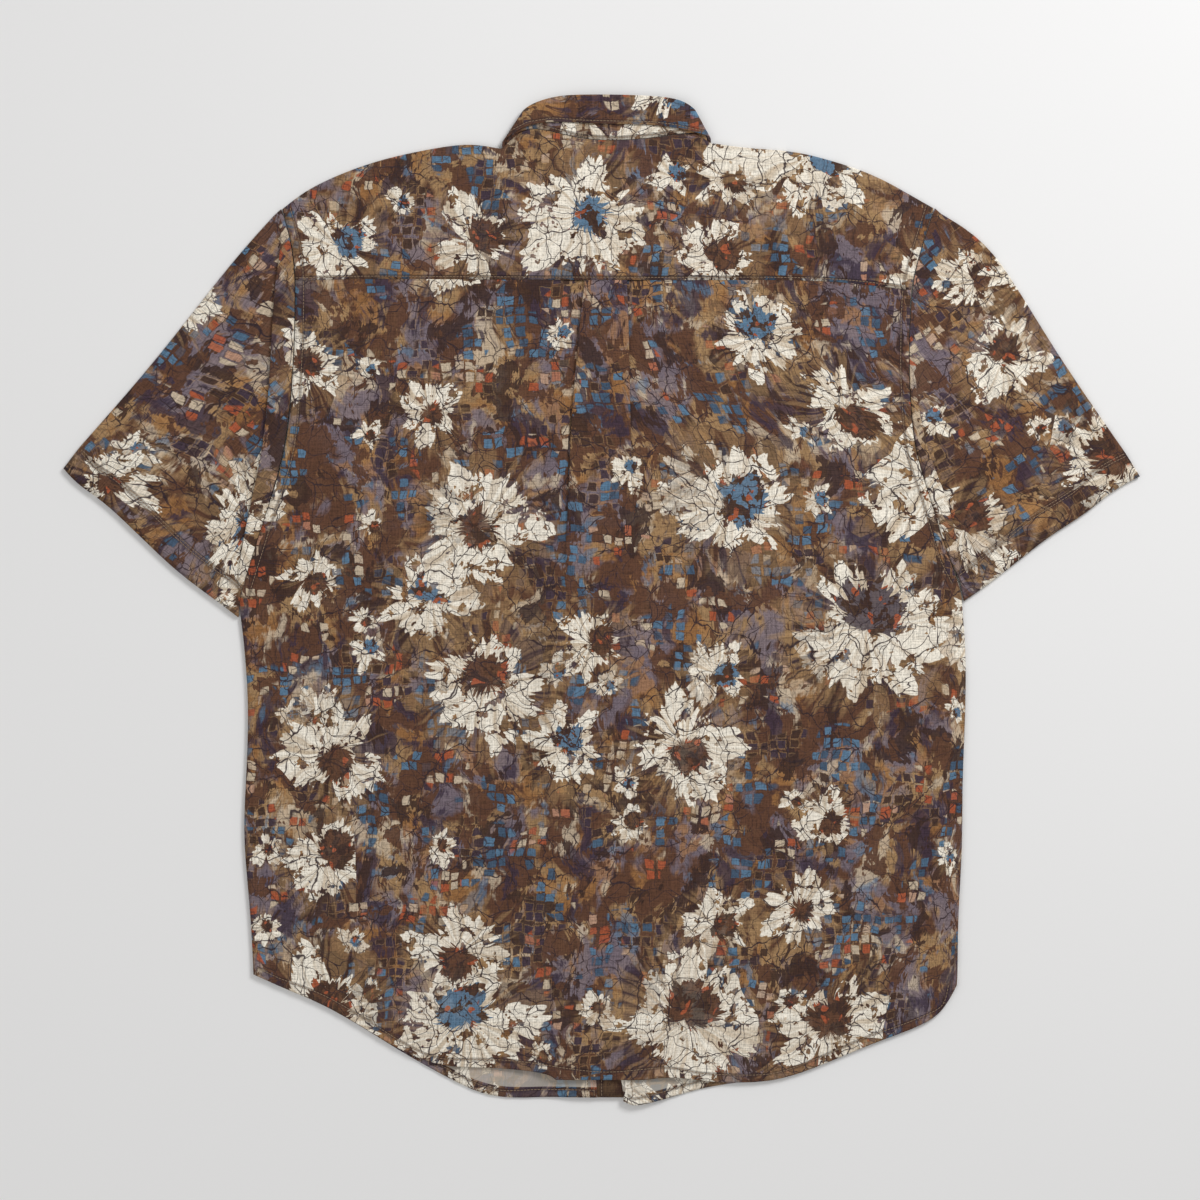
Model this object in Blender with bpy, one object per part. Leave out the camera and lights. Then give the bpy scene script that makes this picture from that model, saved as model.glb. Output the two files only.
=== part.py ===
"""A short-sleeve shirt laid face down on a flat surface, as thin walls of cloth.

Each cut and sewn piece is its own object: back, yoke, two fronts, placket, two sleeves, collar stand,
collar fall and buttons. X runs across the back, Y from the hem to the collar, Z up from the surface.
Sizes in the constants and tables are millimetres. Left and right are as seen from above.
"""

import math
from collections import namedtuple

import bmesh
import bpy
import numpy as np

MM = 0.001

# Cloth and the way its layers lie on each other
CLOTH = 1.0  # one cut piece
HEM_CLOTH = 1.5  # where a hem is turned up
HEM_RISE = 0.5 * (HEM_CLOTH - CLOTH)
SEAM_GAP = 0.3  # between the edges of two pieces that are sewn together
PLY = 1.3  # from one layer's middle to the next where cloth is folded tight
LAYER_STEP = 2.0  # from the lower layer's middle to the upper layer's
FOLD_RADIUS = 0.5 * LAYER_STEP
FOLD_INSET = 0.5 * CLOTH + FOLD_RADIUS  # from a folded edge to where its bend starts
BUTTON_HIGH = 2.0
BUTTON_WIDE = 11.0
BUTTON_ROOM = BUTTON_HIGH + SEAM_GAP

# Hems, the line of the centre front and the box pleat
BODY_HEM = 8.0
CUFF_HEM = 23.0
CENTRE_X = 3.8
PLACKET_WIDE = 34.8
BUTTON_FIRST_Y = 258.0
BUTTON_PITCH = 86.0
BUTTON_COUNT = 7
COLLAR_BUTTON_Y = 324.0
BEND_STEPS = 3  # straight steps in each half turn of a fold

# Where the lower layer is held off the surface: over the collar's points, and over the placket's buttons
COLLAR_MID_Y = 352.0
COLLAR_REACH_X = 100.0
COLLAR_REACH_Y = 88.0
PLACKET_MID_X = 10.0
PLACKET_NEAR = 30.0
PLACKET_FAR = 55.0

# The collar
SIDE_GAP = 1.8  # from the stand's top edge to the fall where the fold isn't behind the neck
NECK_EASE = 0.8  # room for the stand where it turns round each end of the neck
NECK_GAP = 0.9  # from the stand's seam to the fronts
NECK_END_Y = 306.2
FALL_RADIUS = 0.75  # of the collar's top fold, in front and behind
SIDE_RADIUS = 0.35  # how much wider it is where it turns over at the two sides
FALL_LIFT = 1.5  # from the layer on top to the fall that lies on it
FALL_ROWS = (0.35, 0.7, 1.0)  # down the fall from its fold to its edge

# The sleeves
TOP_FOLD_LEAN = 0.9  # fall in Y for each unit of X, down a sleeve's top fold beside its tuck
UNDERARM_RUN = (0.16, 1.0)  # across and down, along a sleeve's underarm fold from the armhole
TOP_FOLD_SQUARE = (0.76, 0.65)  # across and up, for a step square to that fold
PLAIN_TUCK = 0.3  # the lower layer's own tuck, which is no more than a step in its grid
MOST_HEM_SHARE = 0.45
HEM_STEP = 0.01  # of a sleeve's length, where the cuff's hem starts
SLEEVE_ROWS = (0.16, 0.36, 0.56, 0.76)  # from the tuck to the cuff's hem
CUFF_ACROSS = (0.0, 0.09, 0.19, 0.29, 0.41, 0.52, 0.63, 0.74, 0.85, 0.93, 1.0)
LEFT_ACROSS = (0.0, 0.06, 0.13, 0.2, 0.35, 0.5, 0.64, 0.78, 0.9, 0.96, 1.0)
RIGHT_ACROSS = (0.0, 0.1, 0.19, 0.3, 0.44, 0.56, 0.66, 0.76, 0.86, 0.93, 1.0)

# The grids of the flat panels, as shares
BACK_ACROSS = (*np.linspace(0, 0.42, 10), 0.5, *np.linspace(0.58, 1, 10))
YOKE_CORNER = 0.64  # of a front's top edge, where the yoke seam meets the neck
FRONT_ACROSS = (*np.linspace(0, YOKE_CORNER, 8), 0.71, 0.78, 0.85, 0.89, 0.94, 0.97, 1.0)
PANEL_LENGTH = 665.0
ARMHOLE_SHARE = 0.56  # of a panel's length, above which its rows are closer
ARMPIT_SHARES = (0.522, 0.542)  # two more rows, at the armpit's corner
BACK_CORNERS_Y = (272.0, 264.0)  # tops of the back's armhole edges, left and right, at the yoke seam
FRONT_CORNER_Y = 294.0  # the same on the fronts
NECK_SIDE_Y = 343.0  # the stations of the neck seam below this shape the fronts' top edges
ARMHOLE_FADE = 45.0  # how far into the back the sleeve's tuck lifts it
PLEAT_FADE_X = 14.0  # how far beside and above its top the box pleat lifts the yoke
PLEAT_FADE_Y = 55.0
BUTTON_SIDES = 12

Place = namedtuple("Place", "x y")


def table(columns, *rows):
    Row = namedtuple("Row", columns)
    return [Row(*row) for row in rows]


# Outlines seen from above
SIDE_LEFT = table(
    "x y",
    (-295.8, -317.5),
    (-297.1, -282.6),
    (-301.3, -224.8),
    (-305.4, -193.4),
    (-301.8, -150.0),
    (-299.6, -99.0),
    (-300.5, -57.4),
    (-303.9, -33.6),
    (-307.6, -18.0),
)
SIDE_RIGHT = table(
    "x y",
    (301.8, -326.8),
    (304.7, -289.4),
    (303.0, -261.4),
    (308.1, -235.9),
    (305.6, -183.2),
    (308.1, -120.3),
    (310.7, -64.2),
    (307.4, -18.0),
    (306.6, -4.0),
)
ARMHOLE_LEFT = table(
    "x y",
    (-307.0, 4.0),
    (-300.0, 26.0),
    (-286.5, 68.4),
    (-268.5, 127.9),
    (-262.4, 187.4),
    (-260.0, 240.0),
    (-260.0, 271.2),
    (-261.6, 293.7),
    (-265.4, 312.0),
    (-271.6, 332.8),
)
ARMHOLE_RIGHT = table(
    "x y",
    (304.8, 16.0),
    (300.0, 25.0),
    (292.0, 42.9),
    (279.5, 85.4),
    (266.2, 127.9),
    (261.5, 180.0),
    (261.3, 226.0),
    (263.0, 263.5),
    (268.5, 288.0),
    (275.0, 310.0),
    (282.6, 333.6),
)
SHOULDER_LEFT = table(
    "x y",
    (-271.6, 332.8),
    (-263.1, 341.3),
    (-238.4, 354.9),
    (-208.7, 367.6),
    (-171.3, 378.7),
    (-137.3, 384.6),
    (-124.5, 388.2),
    (-103.3, 387.4),
    (-86.0, 383.8),
)
SHOULDER_RIGHT = table(
    "x y",
    (94.4, 388.4),
    (117.7, 384.4),
    (143.2, 382.9),
    (172.1, 380.4),
    (203.6, 371.0),
    (229.9, 362.5),
    (260.5, 345.5),
    (282.6, 333.6),
)
YOKE_SEAM = table(
    "x y",
    (-260.0, 271.2),
    (-200.0, 273.0),
    (-100.0, 272.4),
    (0.0, 271.6),
    (80.0, 271.8),
    (150.0, 272.0),
    (206.0, 270.0),
    (263.0, 263.5),
)
FRONT_YOKE_LEFT = table(
    "x y",
    (-261.6, 293.7),
    (-238.4, 311.5),
    (-208.7, 325.0),
    (-171.3, 336.0),
    (-137.3, 342.0),
    (-103.0, 345.0),
    (-83.2, 344.5),
)
FRONT_YOKE_RIGHT = table(
    "x y",
    (91.2, 345.0),
    (117.7, 343.5),
    (172.1, 337.0),
    (203.6, 328.5),
    (229.9, 317.0),
    (252.0, 302.0),
    (268.5, 288.0),
)
BACK_HEM = table(
    "x y",
    (-295.8, -317.5),
    (-276.7, -326.8),
    (-237.6, -342.1),
    (-203.6, -361.7),
    (-166.2, -384.6),
    (-138.1, -395.5),
    (-103.3, -396.5),
    (-69.3, -398.2),
    (-1.3, -406.7),
    (54.0, -403.3),
    (86.3, -408.4),
    (127.1, -409.8),
    (151.7, -407.2),
    (180.2, -397.4),
    (228.2, -377.0),
    (260.5, -365.5),
    (286.9, -354.0),
    (297.0, -344.0),
    (301.8, -326.8),
)
FRONT_HEM_LEFT = table(
    "x y",
    (-295.8, -317.5),
    (-276.7, -327.2),
    (-237.6, -342.8),
    (-203.6, -362.6),
    (-166.2, -386.0),
    (-145.8, -397.4),
    (-116.0, -413.5),
    (-88.0, -422.8),
    (-48.9, -422.2),
    (-4.1, -422.6),
)
FRONT_HEM_RIGHT = table(
    "x y",
    (18.6, -425.8),
    (25.5, -429.7),
    (38.0, -428.0),
    (72.7, -418.6),
    (93.5, -412.5),
    (127.1, -408.5),
    (180.2, -396.0),
    (228.2, -376.0),
    (260.5, -364.5),
    (286.9, -353.2),
    (297.0, -343.4),
    (301.8, -326.8),
)
SLEEVE_TOP_LEFT = table(
    "x y",
    (-271.6, 332.8),
    (-287.7, 316.6),
    (-314.9, 286.9),
    (-341.3, 252.9),
    (-377.0, 207.0),
    (-411.8, 166.2),
    (-436.5, 139.0),
    (-457.3, 112.2),
)
CUFF_LEFT = table(
    "x y",
    (-457.3, 112.2),
    (-445.0, 98.6),
    (-422.9, 83.7),
    (-395.7, 58.2),
    (-360.8, 25.1),
    (-325.1, -1.7),
    (-309.4, -13.6),
)
SLEEVE_TOP_RIGHT = table(
    "x y",
    (283.2, 333.6),
    (307.3, 316.6),
    (330.2, 303.9),
    (337.0, 296.4),
    (349.8, 272.4),
    (372.7, 233.3),
    (409.3, 177.2),
    (436.5, 139.0),
    (457.3, 105.8),
)
CUFF_RIGHT = table(
    "x y",
    (457.3, 105.8),
    (433.9, 93.1),
    (411.8, 74.4),
    (382.1, 55.7),
    (354.9, 34.4),
    (325.1, 11.5),
    (308.8, 0.2),
)

# The box pleat: its two folded edges, how far the cloth is tucked under each, and how far it turns
PLEAT = table(
    "y left right tuck turn",
    (272.0, -14.5, 21.7, 13.0, 180),
    (229.0, -19.5, 23.6, 12.0, 180),
    (188.0, -23.0, 24.0, 9.0, 180),
    (160.0, -25.5, 25.0, 5.0, 180),
    (136.0, -26.8, 25.0, 0.3, 180),
    (90.0, -28.0, 26.0, 0.3, 110),
    (40.0, -30.0, 28.0, 0.3, 45),
    (-30.0, -32.0, 30.0, 0.3, 0),
    (-410.0, -36.0, 34.0, 0.3, 0),
)

# The tuck of each sleeve beside its armhole: the share of the armhole from the shoulder, the cloth
# from the seam to the folded edge, how far it is tucked under, and how far it turns
SLEEVE_TUCK_LEFT = table(
    "share strip tuck turn",
    (0.00, 1.0, 0.3, 0),
    (0.06, 4.0, 0.3, 60),
    (0.13, 11.0, 0.3, 150),
    (0.20, 17.0, 4.0, 180),
    (0.35, 18.5, 12.0, 180),
    (0.60, 18.5, 14.0, 180),
    (0.78, 14.0, 9.0, 180),
    (0.90, 9.0, 0.3, 150),
    (0.96, 4.0, 0.3, 70),
    (1.00, 1.0, 0.3, 0),
)
SLEEVE_TUCK_RIGHT = table(
    "share strip tuck turn",
    (0.00, 1.0, 0.3, 0),
    (0.40, 2.0, 0.3, 0),
    (0.50, 4.0, 0.3, 80),
    (0.58, 7.0, 0.3, 170),
    (0.66, 10.0, 6.0, 180),
    (0.76, 13.0, 9.0, 180),
    (0.86, 12.0, 5.0, 180),
    (0.92, 8.0, 0.3, 160),
    (0.97, 4.0, 0.3, 70),
    (1.00, 1.0, 0.3, 0),
)

# Soft creases of the upper layer, each a ridge along a line
CREASES = table(
    "x0 y0 x1 y1 width height",
    (-30, 60, -48, -230, 15, 2.0),
    (22, 40, 40, -160, 13, 1.7),
    (-240, 150, -150, 30, 16, 1.8),
    (-250, 80, -205, -40, 13, 1.4),
    (240, 150, 165, 20, 16, 1.9),
    (262, 60, 222, -60, 13, 1.4),
    (-284, -40, -282, -250, 11, 1.6),
    (288, -60, 286, -270, 11, 1.6),
    (-215, -225, -90, -310, 17, 1.6),
    (120, -250, 225, -330, 16, 1.5),
    (-120, 245, -60, 120, 14, 1.3),
    (110, 240, 70, 110, 14, 1.3),
    (-300, 140, -395, 95, 13, 1.6),
    (-330, 190, -420, 120, 12, 1.2),
    (310, 150, 395, 100, 13, 1.6),
    (320, 90, 365, 60, 11, 1.3),
)

# The collar's stations in order round the neck, from the left end over the back to the right end:
# the seam to the shirt, the fold at the top, the share of the way from the front layer to the back
# layer, and the share of the way to the inner of the two lapped ends
STAND = table(
    "seam_x seam_y fold_x fold_y level lap",
    (24.0, 307.2, 20.0, 341.0, 0.0, 0.0),
    (1.5, 306.8, 1.5, 343.0, 0.0, 0.0),
    (-25.0, 309.0, -20.0, 347.0, 0.0, 0.0),
    (-52.0, 316.0, -38.0, 357.0, 0.0, 0.0),
    (-71.5, 330.0, -52.0, 372.0, 0.0, 0.0),
    (-79.5, 350.0, -60.5, 391.0, 0.0, 0.0),
    (-80.6, 378.0, -64.9, 411.5, 0.0, 0.0),
    (-81.6, 388.5, -66.0, 414.5, 0.5, 0.0),
    (-79.8, 392.5, -64.6, 418.0, 1.0, 0.0),
    (-70.0, 398.0, -57.0, 423.0, 1.0, 0.0),
    (-56.5, 402.0, -44.0, 427.2, 1.0, 0.0),
    (-35.0, 396.5, -30.0, 429.3, 1.0, 0.0),
    (-15.7, 391.4, -12.0, 429.7, 1.0, 0.0),
    (15.7, 390.2, 15.0, 429.7, 1.0, 0.0),
    (47.0, 393.1, 42.0, 428.6, 1.0, 0.0),
    (63.0, 396.0, 60.0, 427.0, 1.0, 0.0),
    (79.0, 397.5, 71.0, 423.5, 1.0, 0.0),
    (87.8, 395.5, 76.6, 419.0, 1.0, 0.0),
    (89.8, 393.0, 78.6, 416.0, 0.5, 0.0),
    (88.8, 380.0, 77.5, 412.5, 0.0, 0.0),
    (87.3, 352.0, 72.5, 391.0, 0.0, 0.0),
    (79.5, 331.0, 64.0, 372.0, 0.0, 0.0),
    (60.0, 316.0, 48.0, 357.0, 0.0, 0.2),
    (33.0, 309.0, 29.0, 347.0, 0.0, 1.0),
    (6.1, 306.8, 6.1, 343.0, 0.0, 1.0),
    (-11.0, 307.5, -9.0, 341.5, 0.0, 1.0),
)

# The outer edge of the collar fall, from the left point round the back to the right point
FALL_EDGE = table(
    "x y level",
    (-40.0, 280.0, 0.0),
    (-53.0, 294.0, 0.0),
    (-65.0, 310.0, 0.0),
    (-76.0, 334.0, 0.0),
    (-82.6, 358.0, 0.0),
    (-83.6, 376.0, 0.0),
    (-84.9, 388.0, 0.5),
    (-83.0, 390.5, 1.0),
    (-75.0, 397.0, 1.0),
    (-62.0, 403.6, 1.0),
    (-42.0, 406.7, 1.0),
    (-15.0, 404.8, 1.0),
    (15.0, 404.0, 1.0),
    (43.0, 403.5, 1.0),
    (62.0, 401.2, 1.0),
    (77.0, 397.8, 1.0),
    (91.4, 394.5, 1.0),
    (93.4, 391.5, 0.5),
    (92.0, 380.0, 0.0),
    (91.0, 358.0, 0.0),
    (84.5, 334.0, 0.0),
    (73.0, 310.0, 0.0),
    (61.0, 294.0, 0.0),
    (48.0, 280.0, 0.0),
)

PRINT_BROWN = (0.17, 0.095, 0.06, 1.0)
BUTTON_BROWN = (0.05, 0.028, 0.018, 1.0)


def ramp(low, high, value):
    """0 up to low, 1 from high, and smooth between them."""
    share = min(max((value - low) / (high - low), 0.0), 1.0)
    return share * share * (3 - 2 * share)


def column(rows, key, value, at):
    """The value column of a table, read at a place in its key column, straight between its rows."""
    pairs = sorted((getattr(row, key), getattr(row, value)) for row in rows)
    return float(np.interp(at, [pair[0] for pair in pairs], [pair[1] for pair in pairs]))


class Line:
    """A smooth curve through a table's x and y, read by its share of length or by a coordinate."""

    def __init__(self, rows, shift=(0.0, 0.0)):
        points = np.array([(row.x, row.y) for row in rows], float) + shift
        run = [2 * points[0] - points[1], *points, 2 * points[-1] - points[-2]]
        dense = []
        for a, b, c, d in zip(run, run[1:], run[2:], run[3:]):
            for t in np.linspace(0, 1, 10, endpoint=False):
                bend = (2 * a - 5 * b + 4 * c - d) * t * t + (3 * b - a - 3 * c + d) * t**3
                dense.append(0.5 * (2 * b + (c - a) * t + bend))
        dense.append(points[-1])
        self.points = np.array(dense)
        steps = np.linalg.norm(np.diff(self.points, axis=0), axis=1)
        self.shares = np.concatenate([[0.0], np.cumsum(steps)]) / steps.sum()

    def at(self, share):
        return np.array([np.interp(share, self.shares, self.points[:, axis]) for axis in (0, 1)])

    def read(self, key, other, value):
        order = np.argsort(self.points[:, key])
        return float(np.interp(value, self.points[order, key], self.points[order, other]))

    def x_at(self, y):
        return self.read(1, 0, y)

    def y_at(self, x):
        return self.read(0, 1, x)

    def share_at_y(self, y):
        order = np.argsort(self.points[:, 1])
        return float(np.interp(y, self.points[order, 1], self.shares[order]))


def patch(bottom, top, left, right, across, along):
    """A grid of x and y inside four edges, each a function over 0 to 1."""
    grid = np.zeros((len(along), len(across), 2))
    for i, v in enumerate(along):
        for j, u in enumerate(across):
            sides = (1 - u) * left(v) + u * right(v)
            ends = (1 - v) * bottom(u) + v * top(u)
            corners = (1 - u) * (1 - v) * bottom(0) + u * (1 - v) * bottom(1)
            corners = corners + (1 - u) * v * top(0) + u * v * top(1)
            grid[i, j] = sides + ends - corners
    return grid


def collar_zone(x, y, spare):
    """1 where the collar points lie under the fronts, 0 well clear of them."""
    reach = math.hypot((x - CENTRE_X) / COLLAR_REACH_X, (y - COLLAR_MID_Y) / COLLAR_REACH_Y)
    return 1 - ramp(1.0 + 0.1 * spare, 1.4 + 0.3 * spare, reach)


def placket_zone(x, spare):
    """1 over the placket and its buttons, 0 well clear of them."""
    return 1 - ramp(PLACKET_NEAR + 7 * spare, PLACKET_FAR + 28 * spare, abs(x - PLACKET_MID_X))


def lower_mid(x, y, spare=0.0):
    """Height of the middle of the layer that rests on the surface, or with spare, room over it."""
    collar, placket = collar_zone(x, y, spare), placket_zone(x, spare)
    return 0.5 * CLOTH + BUTTON_ROOM * (collar + placket - collar * placket)


def inner_mid(x, y, spare=0.0):
    """The same where the right front laps over the placket."""
    return lower_mid(x, y, spare) + PLY * placket_zone(x, spare)


def crease_rise(x, y):
    rise = 0.0
    for crease in CREASES:
        run = np.array([crease.x1 - crease.x0, crease.y1 - crease.y0], float)
        length = np.linalg.norm(run)
        away = np.array([x - crease.x0, y - crease.y0])
        share = float(away @ run) / length**2
        off = abs(away[0] * run[1] - away[1] * run[0]) / length
        fade = ramp(-0.1, 0.3, share) * (1 - ramp(0.7, 1.1, share))
        rise += crease.height * fade * math.exp(-((off / crease.width) ** 2))
    return rise


def upper_mid(x, y):
    """Height of the middle of the layer on top."""
    return inner_mid(x, y, spare=1.0) + LAYER_STEP + crease_rise(x, y)


def tuck_path(tuck, turn):
    """A fold's middle line as steps outward and up: round one bend, back under, round the other."""
    angle = math.radians(turn)
    bend = 0.5 * math.pi * PLY / BEND_STEPS
    first = [angle * (step + 0.5) / BEND_STEPS for step in range(BEND_STEPS)]
    steps = [(bend, heading) for heading in first]
    steps.append((tuck, angle))
    steps += [(bend, heading) for heading in reversed(first)]
    path = [(0.0, 0.0)]
    for length, heading in steps:
        out, up = path[-1]
        path.append((out + length * math.cos(heading), up - length * math.sin(heading)))
    return path


def tuck_drop(tuck, turn):
    return -tuck_path(tuck, turn)[-1][1]


def tuck_at(rows, share):
    return (
        column(rows, "share", "strip", share),
        column(rows, "share", "tuck", share),
        column(rows, "share", "turn", share),
    )


class Sheet:
    """A surface of quads, sewn from grids whose shared edges have the same points."""

    def __init__(self):
        self.points, self.faces, self.weights, self.index = [], [], [], {}

    def corner(self, point, weight):
        key = tuple(round(float(value), 5) for value in point)
        if key not in self.index:
            self.index[key] = len(self.points)
            self.points.append([float(value) for value in point])
            self.weights.append(weight)
        return self.index[key]

    def grid(self, rows, hems=None, ring=False):
        """Adds a grid of points; hems says for each row whether the cloth is doubled there."""
        hems = hems or [False] * len(rows)
        ids = [
            [self.corner(point, 1.0 if hem else CLOTH / HEM_CLOTH) for point in row]
            for row, hem in zip(rows, hems)
        ]
        count = len(rows[0])
        for low, high in zip(ids, ids[1:]):
            for j in range(count if ring else count - 1):
                k = (j + 1) % count
                self.faces.append((low[j], low[k], high[k], high[j]))


def material(name, colour, roughness):
    finish = bpy.data.materials.new(name)
    finish.use_nodes = True
    shader = finish.node_tree.nodes["Principled BSDF"]
    shader.inputs["Base Color"].default_value = colour
    shader.inputs["Roughness"].default_value = roughness
    shader.inputs["Metallic"].default_value = 0.0
    finish.diffuse_color = colour
    return finish


def cloth_object(name, sheet, finish):
    """An object whose wall is grown evenly on both sides of the sheet."""
    mesh = bpy.data.meshes.new(name)
    points = [tuple(value * MM for value in point) for point in sheet.points]
    mesh.from_pydata(points, [], sheet.faces)
    shape = bmesh.new()
    shape.from_mesh(mesh)
    bmesh.ops.recalc_face_normals(shape, faces=shape.faces)
    shape.to_mesh(mesh)
    shape.free()
    mesh.shade_smooth()
    mesh.materials.append(finish)
    obj = bpy.data.objects.new(name, mesh)
    bpy.context.scene.collection.objects.link(obj)
    plies = obj.vertex_groups.new(name="plies")
    for index, weight in enumerate(sheet.weights):
        plies.add([index], weight, "REPLACE")
    wall = obj.modifiers.new("Wall", "SOLIDIFY")
    wall.thickness = HEM_CLOTH * MM
    wall.offset = 0.0
    wall.vertex_group = plies.name
    return obj


def body_shares(length):
    """Shares up a panel: the hem's edge, both sides of its stitch line, the side, armpit and armhole."""
    stitch = BODY_HEM / length
    after = (BODY_HEM + HEM_CLOTH) / length
    side_rows, upper_rows = np.linspace(after, ARMHOLE_SHARE, 7)[:-1], np.linspace(ARMHOLE_SHARE, 1.0, 11)
    return [0.0, stitch, *side_rows, *ARMPIT_SHARES, *upper_rows]


HEM_ROWS = [True, True]  # the rows of a panel that lie on its hem; the rest are single cloth


def placket_edge(y):
    """The placket's inner edge, which leans right below the last button."""
    last = BUTTON_FIRST_Y - BUTTON_PITCH * (BUTTON_COUNT - 1)
    return -10.6 + 6.8 * ramp(0, 170, last - y)


def make_back(finish):
    """The back, its edges at the side seams and armholes, with the box pleat below the yoke."""
    arm_left = [row for row in ARMHOLE_LEFT if row.y < BACK_CORNERS_Y[0]]
    arm_right = [row for row in ARMHOLE_RIGHT if row.y < BACK_CORNERS_Y[1]]
    left = Line([*SIDE_LEFT, *arm_left], (0.5, 0))
    right = Line([*SIDE_RIGHT, *arm_right], (-0.5, 0))
    top = Line(YOKE_SEAM, (0, -SEAM_GAP / 2))
    bottom = Line(BACK_HEM, (0, 0.5))
    centre = BACK_ACROSS.index(0.5)
    along = body_shares(PANEL_LENGTH)
    hems = HEM_ROWS + [False] * (len(along) - 2)
    flat = patch(bottom.at, top.at, left.at, right.at, BACK_ACROSS, along)
    sheet = Sheet()
    rows = []
    for i, hem in enumerate(hems):
        rise = HEM_RISE if hem else 0.0
        y_mid = flat[i, centre, 1]
        tuck, turn = column(PLEAT, "y", "tuck", y_mid), column(PLEAT, "y", "turn", y_mid)
        path = tuck_path(tuck, turn)
        drop = -path[-1][1]
        fold_left = column(PLEAT, "y", "left", y_mid) + 0.5 * (PLY + CLOTH)
        fold_right = column(PLEAT, "y", "right", y_mid) - 0.5 * (PLY + CLOTH)
        row = []
        for j, (x, y) in enumerate(flat[i]):
            if j == centre:
                for out, up in reversed(path):
                    x_fold = fold_left - out
                    row.append((x_fold, y, upper_mid(x_fold, y) + drop + up + rise))
                x = 0.5 * (fold_left + fold_right)
                row.append((x, y, upper_mid(x, y) + drop + rise))
                for out, up in path:
                    x_fold = fold_right + out
                    row.append((x_fold, y, upper_mid(x_fold, y) + drop + up + rise))
            else:
                row.append((x, y, upper_edge_mid(x, y) + rise))
        rows.append(row)
    sheet.grid(rows, hems)
    return cloth_object("back", sheet, finish)


def armhole_lift(x, y):
    """How far the sleeve's tuck lifts the back beside each armhole."""
    if x < 0:
        line, rows = ARMHOLE_LINES["left"], SLEEVE_TUCK_LEFT
    else:
        line, rows = ARMHOLE_LINES["right"], SLEEVE_TUCK_RIGHT
    share = 1 - line.share_at_y(y)
    _, tuck, turn = tuck_at(rows, share)
    near = 1 - ramp(2, ARMHOLE_FADE, abs(line.x_at(y) - x))
    inside = ramp(-12, 0, y - line.points[0, 1])
    return tuck_drop(tuck, turn) * near * inside


def upper_edge_mid(x, y):
    return upper_mid(x, y) + armhole_lift(x, y)


def pleat_lift(x, y):
    """How far the box pleat lifts the yoke at its seam."""
    top = PLEAT[0]
    beside = max(top.left - x, x - top.right, 0.0)
    above = y - YOKE_SEAM[0].y
    fade = (1 - ramp(0, PLEAT_FADE_X, beside)) * (1 - ramp(0, PLEAT_FADE_Y, above))
    return tuck_drop(top.tuck, top.turn) * fade


def bend_points(start, outward, radius, up=False):
    """Three points round a folded edge, from the end of one layer to the end of the other."""
    sign = 1 if up else -1
    points = []
    for degrees in (45, 90, 135):
        angle = math.radians(degrees)
        out = radius * math.sin(angle)
        rise = sign * radius * (1 - math.cos(angle))
        points.append((start[0] + outward[0] * out, start[1] + outward[1] * out, start[2] + rise))
    return points


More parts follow.
